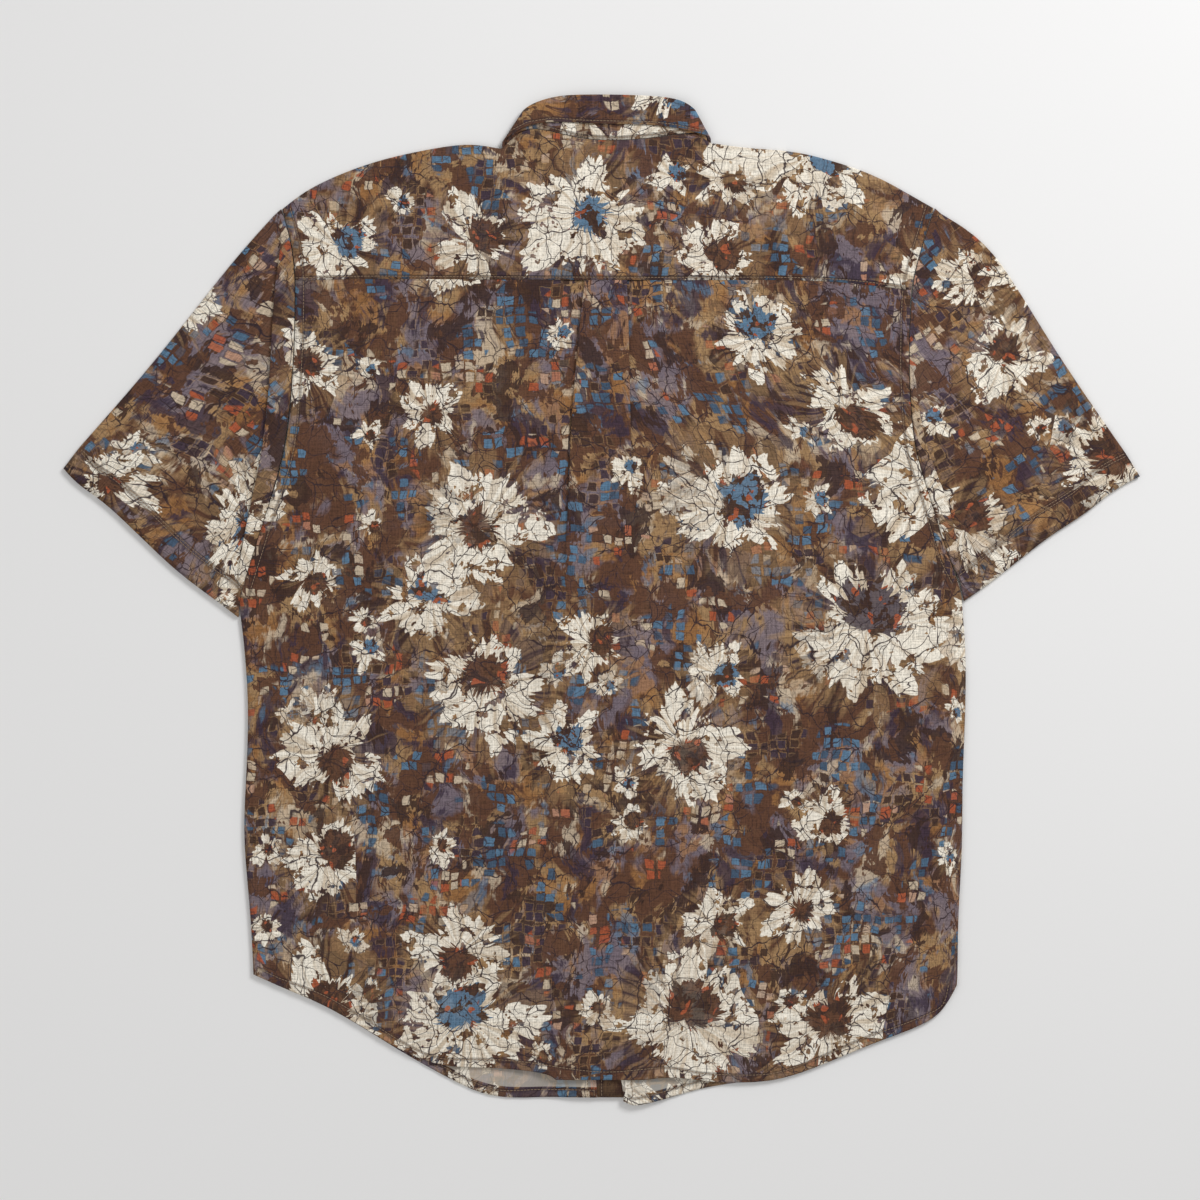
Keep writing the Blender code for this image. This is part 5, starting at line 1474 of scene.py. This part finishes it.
def seam_paths(piece, groups):
    """The rows of stitches on one piece, each above the cloth, below it, or both."""
    lines = [line for group in groups for line in group]
    seams = [Seam("above", line) for line in lines]
    if piece not in ("back", "yoke", "collar_fall", "collar_stand"):
        seams += [Seam("below", line) for line in lines]
    if piece == "yoke":
        for rows in (FRONT_YOKE_LEFT, FRONT_YOKE_RIGHT):
            seams.append(Seam("below", Line(rows, (0, EDGE_STITCH)).points))
    if piece == "front_left":
        seams += [Seam("above", placket_line(-inset)) for inset in SIDE_STITCHES]
    if piece == "front_right":
        seams.append(Seam("above", upright(lambda y: right_front_edge(y) + SIDE_STITCHES[0])))
    return seams


def away_from(line, x, y):
    """How far each point of a plan lies from a line, above 0 on its left."""
    places, ways = evenly(np.asarray(line), LINE_PITCH)
    found = np.empty(len(x))
    past = np.zeros(len(x), bool)
    for start in range(0, len(x), POINTS_AT_ONCE):
        part = slice(start, start + POINTS_AT_ONCE)
        off_x = x[part, None] - places[None, :, 0]
        off_y = y[part, None] - places[None, :, 1]
        near = np.argmin(off_x**2 + off_y**2, axis=1)
        pick = (np.arange(len(near)), near)
        along = ways[near, 0] * off_x[pick] + ways[near, 1] * off_y[pick]
        found[part] = ways[near, 0] * off_y[pick] - ways[near, 1] * off_x[pick]
        past[part] = np.abs(along) > LINE_PITCH
    inside = np.sign(np.median(found[~past])) if not past.all() else 1.0
    return np.where(past, inside * np.maximum(np.abs(found), PAST_END), found)


def mark_seams(mesh, groups):
    """Stores each corner's distance in metres from the nearest line of each group, for the shader."""
    points = points_of(mesh)
    x, y = points[:, 0] / MM, points[:, 1] / MM
    away = np.full((len(x), 2), NO_SEAM)
    for axis, lines in enumerate(groups):
        if lines:
            found = np.array([away_from(line, x, y) for line in lines])
            nearest = np.argmin(np.abs(found), axis=0)
            away[:, axis] = found[nearest, np.arange(len(x))] * MM
    corners = np.empty(len(mesh.loops), int)
    mesh.loops.foreach_get("vertex_index", corners)
    layer = mesh.uv_layers.new(name="SeamAway")
    layer.data.foreach_set("uv", away[corners].ravel())


def surface_tree(obj):
    mesh = obj.data
    mesh.calc_loop_triangles()
    corners = [triangle.vertices[:] for triangle in mesh.loop_triangles]
    return BVHTree.FromPolygons([vertex.co[:] for vertex in mesh.vertices], corners)


def stitch_mesh(cloth, seams):
    """Short raised stitches along the seams of one piece, each on the cloth's surface, as one mesh."""
    tree = surface_tree(cloth)
    half = 0.5 * STITCH_LONG * MM
    points, faces = [], []
    for seam in seams:
        up = Vector((0, 0, 1 if seam.side == "above" else -1))
        for (x, y), (way_x, way_y) in zip(*evenly(seam.path, STITCH_PITCH)):
            way = Vector((way_x, way_y, 0))
            middle = Vector((x * MM, y * MM, 0)) + up * RAY_START
            ends = [tree.ray_cast(middle + way * half * share, -up)[0] for share in (-1, 1)]
            if None in ends or abs(ends[0].z - ends[1].z) > half:
                continue
            side = Vector((-way_y, way_x, 0)) * 0.5 * STITCH_WIDE * MM * up.z
            first = len(points)
            for end in ends:
                foot = end - up * STITCH_SUNK * MM
                points += [foot - side, foot + side]
            for share in CROWN_SHARES:
                crown = ends[0].lerp(ends[1], share) + up * STITCH_HIGH * MM
                points += [crown - CROWN_WIDE * side, crown + CROWN_WIDE * side]
            faces += [[first + corner for corner in face] for face in STITCH_TOP]
    if not points:
        raise RuntimeError(f"{cloth.name}: no stitch meets its cloth")
    mesh = bpy.data.meshes.new(f"{cloth.name}_stitches")
    mesh.from_pydata([tuple(point) for point in points], [], faces)
    mesh.materials.append(thread_material())
    stitches = put(mesh.name, mesh)
    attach(stitches, "root")
    return stitches


def thread_material():
    """Twisted sewing thread, with painted shade between its strands."""
    name = "sewing_thread"
    if name in bpy.data.materials:
        return bpy.data.materials[name]
    finish, nodes, shader = new_finish(name)
    place = nodes.add("ShaderNodeTexCoord").outputs["Object"]
    thread = tuple(bpy.context.scene.shirt_cloth.thread)
    # Painted shade: noise darkens the thread to THREAD_SHADE of its colour, standing for the gaps between
    # strands.
    strands = nodes.blend(nodes.noise(place, THREAD_TWIST), darker(thread, THREAD_SHADE), thread)
    nodes.feed(shader.inputs["Base Color"], strands)
    shader.inputs["Roughness"].default_value = 0.7
    return finish


# A button's profile from the face on the floor side to the back: shares of its radius, and heights
BUTTON_PROFILE = table(
    "share height",
    (0.0, 0.5), (0.60, 0.5), (0.66, 0.35), (0.72, 0.06), (0.80, 0.0), (0.90, 0.04), (0.97, 0.25),
    (1.0, 0.6), (1.0, 1.4), (0.97, 1.75), (0.9, BUTTON_HIGH), (0.0, BUTTON_HIGH),
)
BUTTON_SIDES = 48
SHARP_DEGREES = 35
SAME_POINT = 1e-6  # in metres
HOLE_SIDES = 16
HOLE_RADIUS = 0.75
HOLE_OFF = 1.25
HOLES = [(HOLE_OFF * x, HOLE_OFF * y) for x, y in ((-1, -1), (1, -1), (1, 1), (-1, 1))]
THREAD_SIDES = 8
THREAD_RADIUS = 0.35
THREAD_LEVELS = (0.35, 2.1)


def lathe(rows, radius, sides):
    shape = bmesh.new()
    verts = [shape.verts.new((radius * row.share * MM, 0, row.height * MM)) for row in rows]
    edges = [shape.edges.new(pair) for pair in zip(verts, verts[1:])]
    turn = {"axis": (0, 0, 1), "cent": (0, 0, 0), "angle": 2 * math.pi, "steps": sides}
    bmesh.ops.spin(shape, geom=verts + edges, use_merge=True, **turn)
    bmesh.ops.remove_doubles(shape, verts=shape.verts, dist=SAME_POINT)
    bmesh.ops.recalc_face_normals(shape, faces=shape.faces)
    return shape


def add_tube(shape, start, end, radius, sides=THREAD_SIDES):
    """A closed straight tube between two points, in millimetres."""
    start, end = Vector(start), Vector(end)
    turn = (end - start).to_track_quat("Z", "Y")
    rings = []
    for middle in (start, end):
        corners = []
        for step in range(sides):
            angle = 2 * math.pi * step / sides
            place = middle + turn @ Vector((math.cos(angle), math.sin(angle), 0)) * radius
            corners.append(shape.verts.new(place * MM))
        rings.append(corners)
    for step in range(sides):
        after = (step + 1) % sides
        shape.faces.new((rings[0][step], rings[0][after], rings[1][after], rings[1][step]))
    shape.faces.new(list(reversed(rings[0])))
    shape.faces.new(rings[1])


def mesh_of(name, shape):
    mesh = bpy.data.meshes.new(name)
    shape.to_mesh(mesh)
    shape.free()
    return mesh


def button_mesh():
    """A four-hole button with a raised rim."""
    turned = lathe(BUTTON_PROFILE, 0.5 * BUTTON_WIDE, BUTTON_SIDES)
    body = put("button_body", mesh_of("button_body", turned))
    holes = bmesh.new()
    for x, y in HOLES:
        add_tube(holes, (x, y, -1.0), (x, y, BUTTON_HIGH + 1.0), HOLE_RADIUS, HOLE_SIDES)
    cutter = put("button_holes", mesh_of("button_holes", holes))
    cut = body.modifiers.new("Holes", "BOOLEAN")
    cut.operation = "DIFFERENCE"
    cut.object = cutter
    mesh = baked_mesh(body)
    for obj in (body, cutter):
        bpy.data.objects.remove(obj)
    mesh.shade_smooth()
    mesh.set_sharp_from_angle(angle=math.radians(SHARP_DEGREES))
    return mesh


def button_thread():
    """The thread through the four holes: a cross on the face, and a shank up to the cloth."""
    shape = bmesh.new()
    low, high = THREAD_LEVELS
    for (x0, y0), (x1, y1) in zip(HOLES[:2], HOLES[2:]):
        add_tube(shape, (x0, y0, low), (x1, y1, low), THREAD_RADIUS)
    for x, y in HOLES:
        add_tube(shape, (x, y, low), (x, y, high), THREAD_RADIUS)
    return mesh_of("button_thread", shape)


def button_material():
    """Mottled brown plastic with fine scuffs."""
    finish, nodes, shader = new_finish("mottled_plastic")
    place = nodes.add("ShaderNodeTexCoord").outputs["Object"]
    cloud = nodes.noise(nodes.bent(place, 0.004, 0.003), 0.0035, 3.0, 0.6)
    brown = tuple(bpy.context.scene.shirt_cloth.button)
    mottle = nodes.blend(nodes.step(cloud, 0.35, 0.65), darker(brown, MOTTLE_SHADE), brown)
    nodes.feed(shader.inputs["Base Color"], mottle)
    scuff = nodes.noise(place, 0.0006, 2.0)
    nodes.feed(shader.inputs["Roughness"], nodes.math("MULTIPLY_ADD", scuff, 0.25, 0.22))
    nodes.feed(shader.inputs["Normal"], nodes.bump(scuff, 0.15, 0.0002).outputs[0])
    return finish


def make_buttons():
    """Every button on the floor side, each in the place of its solid."""
    body, thread = button_mesh(), button_thread()
    body.materials.append(button_material())
    thread.materials.append(thread_material())
    places = {"button_collar": COLLAR_BUTTON_Y}
    for index in range(BUTTON_COUNT):
        places[f"button_{index + 1}"] = BUTTON_FIRST_Y - BUTTON_PITCH * index
    for name, y in places.items():
        x = placket_edge(y) + 0.5 * PLACKET_WIDE
        button = put(f"{name}_four_hole", body.copy())
        tie = put(f"{name}_thread", thread.copy())
        for obj in (button, tie):
            obj.location = (x * MM, y * MM, 0)
            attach(obj, "root")
        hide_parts(name)


def floor_material():
    finish, nodes, shader = new_finish("pale_floor")
    place = nodes.add("ShaderNodeTexCoord").outputs["Object"]
    grain = nodes.noise(place, 0.4, 2.0, 0.5)
    tone = bpy.context.scene.shirt_stage.floor_tone
    low, high = [(tone - 0.01,) * 3 + (1.0,), (tone,) * 3 + (1.0,)]
    nodes.feed(shader.inputs["Base Color"], nodes.blend(grain, low, high))
    shader.inputs["Roughness"].default_value = 0.9
    return finish


def make_stage():
    settings = bpy.context.scene.shirt_stage
    bpy.ops.mesh.primitive_plane_add(size=FLOOR_SIZE, location=(0, 0, FLOOR_Z))
    floor = bpy.context.object
    floor.name = "floor"
    floor.data.materials.append(floor_material())
    for lamp in LAMPS:
        light = bpy.data.lights.new(lamp.name, "AREA")
        light.shape = "RECTANGLE"
        light.size, light.size_y = lamp.wide, lamp.deep
        light.energy = lamp.watts * settings.light_scale
        place = put(lamp.name, light)
        place.location = (lamp.x, lamp.y, lamp.z)
        place.rotation_euler = (-Vector(place.location)).to_track_quat("-Z", "Y").to_euler()
    world = bpy.data.worlds.new("soft_room")
    world.use_nodes = True
    sky = world.node_tree.nodes["Background"]
    sky.inputs["Color"].default_value = SKY
    sky.inputs["Strength"].default_value = settings.room_light
    bpy.context.scene.world = world
    camera = bpy.data.cameras.new("overhead")
    camera.sensor_width = SENSOR
    camera.lens = SENSOR * settings.camera_height / VIEW_WIDTH
    camera.clip_end = FARTHEST
    eye = put("overhead", camera)
    eye.location = (VIEW_X, VIEW_Y, settings.camera_height)
    bpy.context.scene.camera = eye
    bpy.context.scene.view_settings.view_transform = "Standard"


class ShellStep:
    """What the steps share that make cloth: each piece with its sheet and how finely it is divided."""

    def execute(self, context):
        for piece, sheet, levels in self.sheets():
            cloth_shell(piece, sheet, levels)
        return {"FINISHED"}


class SHIRT_OT_body(ShellStep, bpy.types.Operator):
    """Makes the back with its box pleat, and the yoke over the shoulder folds"""

    bl_idname = "shirt.body"
    bl_label = "Back and yoke"

    def sheets(self):
        return ("back", back_sheet(), 3), ("yoke", yoke_sheet(), 2)


class SHIRT_OT_fronts(ShellStep, bpy.types.Operator):
    """Makes the two fronts and the placket band, which lie under the back"""

    bl_idname = "shirt.fronts"
    bl_label = "Fronts and placket"

    def sheets(self):
        left_rows = (SIDE_LEFT, ARMHOLE_LEFT, FRONT_YOKE_LEFT, FRONT_HEM_LEFT)
        left = front_sheet(*left_rows, lambda y: placket_edge(y) - SEAM_GAP, lower_mid)
        right_rows = (SIDE_RIGHT, ARMHOLE_RIGHT, FRONT_YOKE_RIGHT, FRONT_HEM_RIGHT)
        right = front_sheet(*right_rows, right_front_edge, inner_mid)
        return ("front_left", left, 2), ("front_right", right, 2), ("placket", placket_sheet(), 2)


class SHIRT_OT_sleeves(ShellStep, bpy.types.Operator):
    """Makes the two sleeves, flattened tubes with a tuck at the armhole"""

    bl_idname = "shirt.sleeves"
    bl_label = "Sleeves"

    def sheets(self):
        left_rows = (SLEEVE_TUCK_LEFT, SLEEVE_TOP_LEFT, CUFF_LEFT, LEFT_ACROSS)
        right_rows = (SLEEVE_TUCK_RIGHT, SLEEVE_TOP_RIGHT, CUFF_RIGHT, RIGHT_ACROSS)
        left = sleeve_sheet(ARMHOLE_LINES["left"], *left_rows)
        right = sleeve_sheet(ARMHOLE_LINES["right"], *right_rows)
        return ("sleeve_left", left, 2), ("sleeve_right", right, 2)


class SHIRT_OT_collar(ShellStep, bpy.types.Operator):
    """Makes the collar stand and the fall turned down over it"""

    bl_idname = "shirt.collar"
    bl_label = "Collar"

    def sheets(self):
        return ("collar_stand", stand_sheet(), 2), ("collar_fall", fall_sheet(), 2)


class SHIRT_OT_buttons(bpy.types.Operator):
    """Makes the four-hole buttons under the placket and at the collar"""

    bl_idname = "shirt.buttons"
    bl_label = "Buttons"

    def execute(self, context):
        make_buttons()
        return {"FINISHED"}


class SHIRT_OT_stage(bpy.types.Operator):
    """Makes the pale floor, the soft lamps and the camera"""

    bl_idname = "shirt.stage"
    bl_label = "Stage"

    def execute(self, context):
        make_stage()
        return {"FINISHED"}


class SHIRT_PT_panel(bpy.types.Panel):
    """Lists the shirt's settings and the steps that build it"""

    bl_label = "Short-sleeve shirt"
    bl_idname = "SHIRT_PT_panel"
    bl_space_type = "VIEW_3D"
    bl_region_type = "UI"
    bl_category = "Shirt"

    def draw(self, context):
        for name in SETTINGS:
            box = self.layout.box()
            group = getattr(context.scene, name)
            for key in group.__annotations__:
                box.prop(group, key)
        for step in STEPS:
            self.layout.operator(step.bl_idname)


SETTINGS = {"shirt_cloth": ClothSettings, "shirt_print": PrintSettings, "shirt_stage": StageSettings}
CLOTH_STEPS = (SHIRT_OT_body, SHIRT_OT_fronts, SHIRT_OT_sleeves, SHIRT_OT_collar)
STEPS = (*CLOTH_STEPS, SHIRT_OT_buttons, SHIRT_OT_stage)


def register():
    for item in (*SETTINGS.values(), *STEPS, SHIRT_PT_panel):
        bpy.utils.register_class(item)
    for name, group in SETTINGS.items():
        setattr(bpy.types.Scene, name, bpy.props.PointerProperty(type=group))


def unregister():
    for name in SETTINGS:
        delattr(bpy.types.Scene, name)
    for item in (SHIRT_PT_panel, *reversed(STEPS), *SETTINGS.values()):
        bpy.utils.unregister_class(item)


def main():
    register()
    for step in STEPS:
        category, action = step.bl_idname.split(".")
        getattr(getattr(bpy.ops, category), action)()


if __name__ == "__main__":
    main()
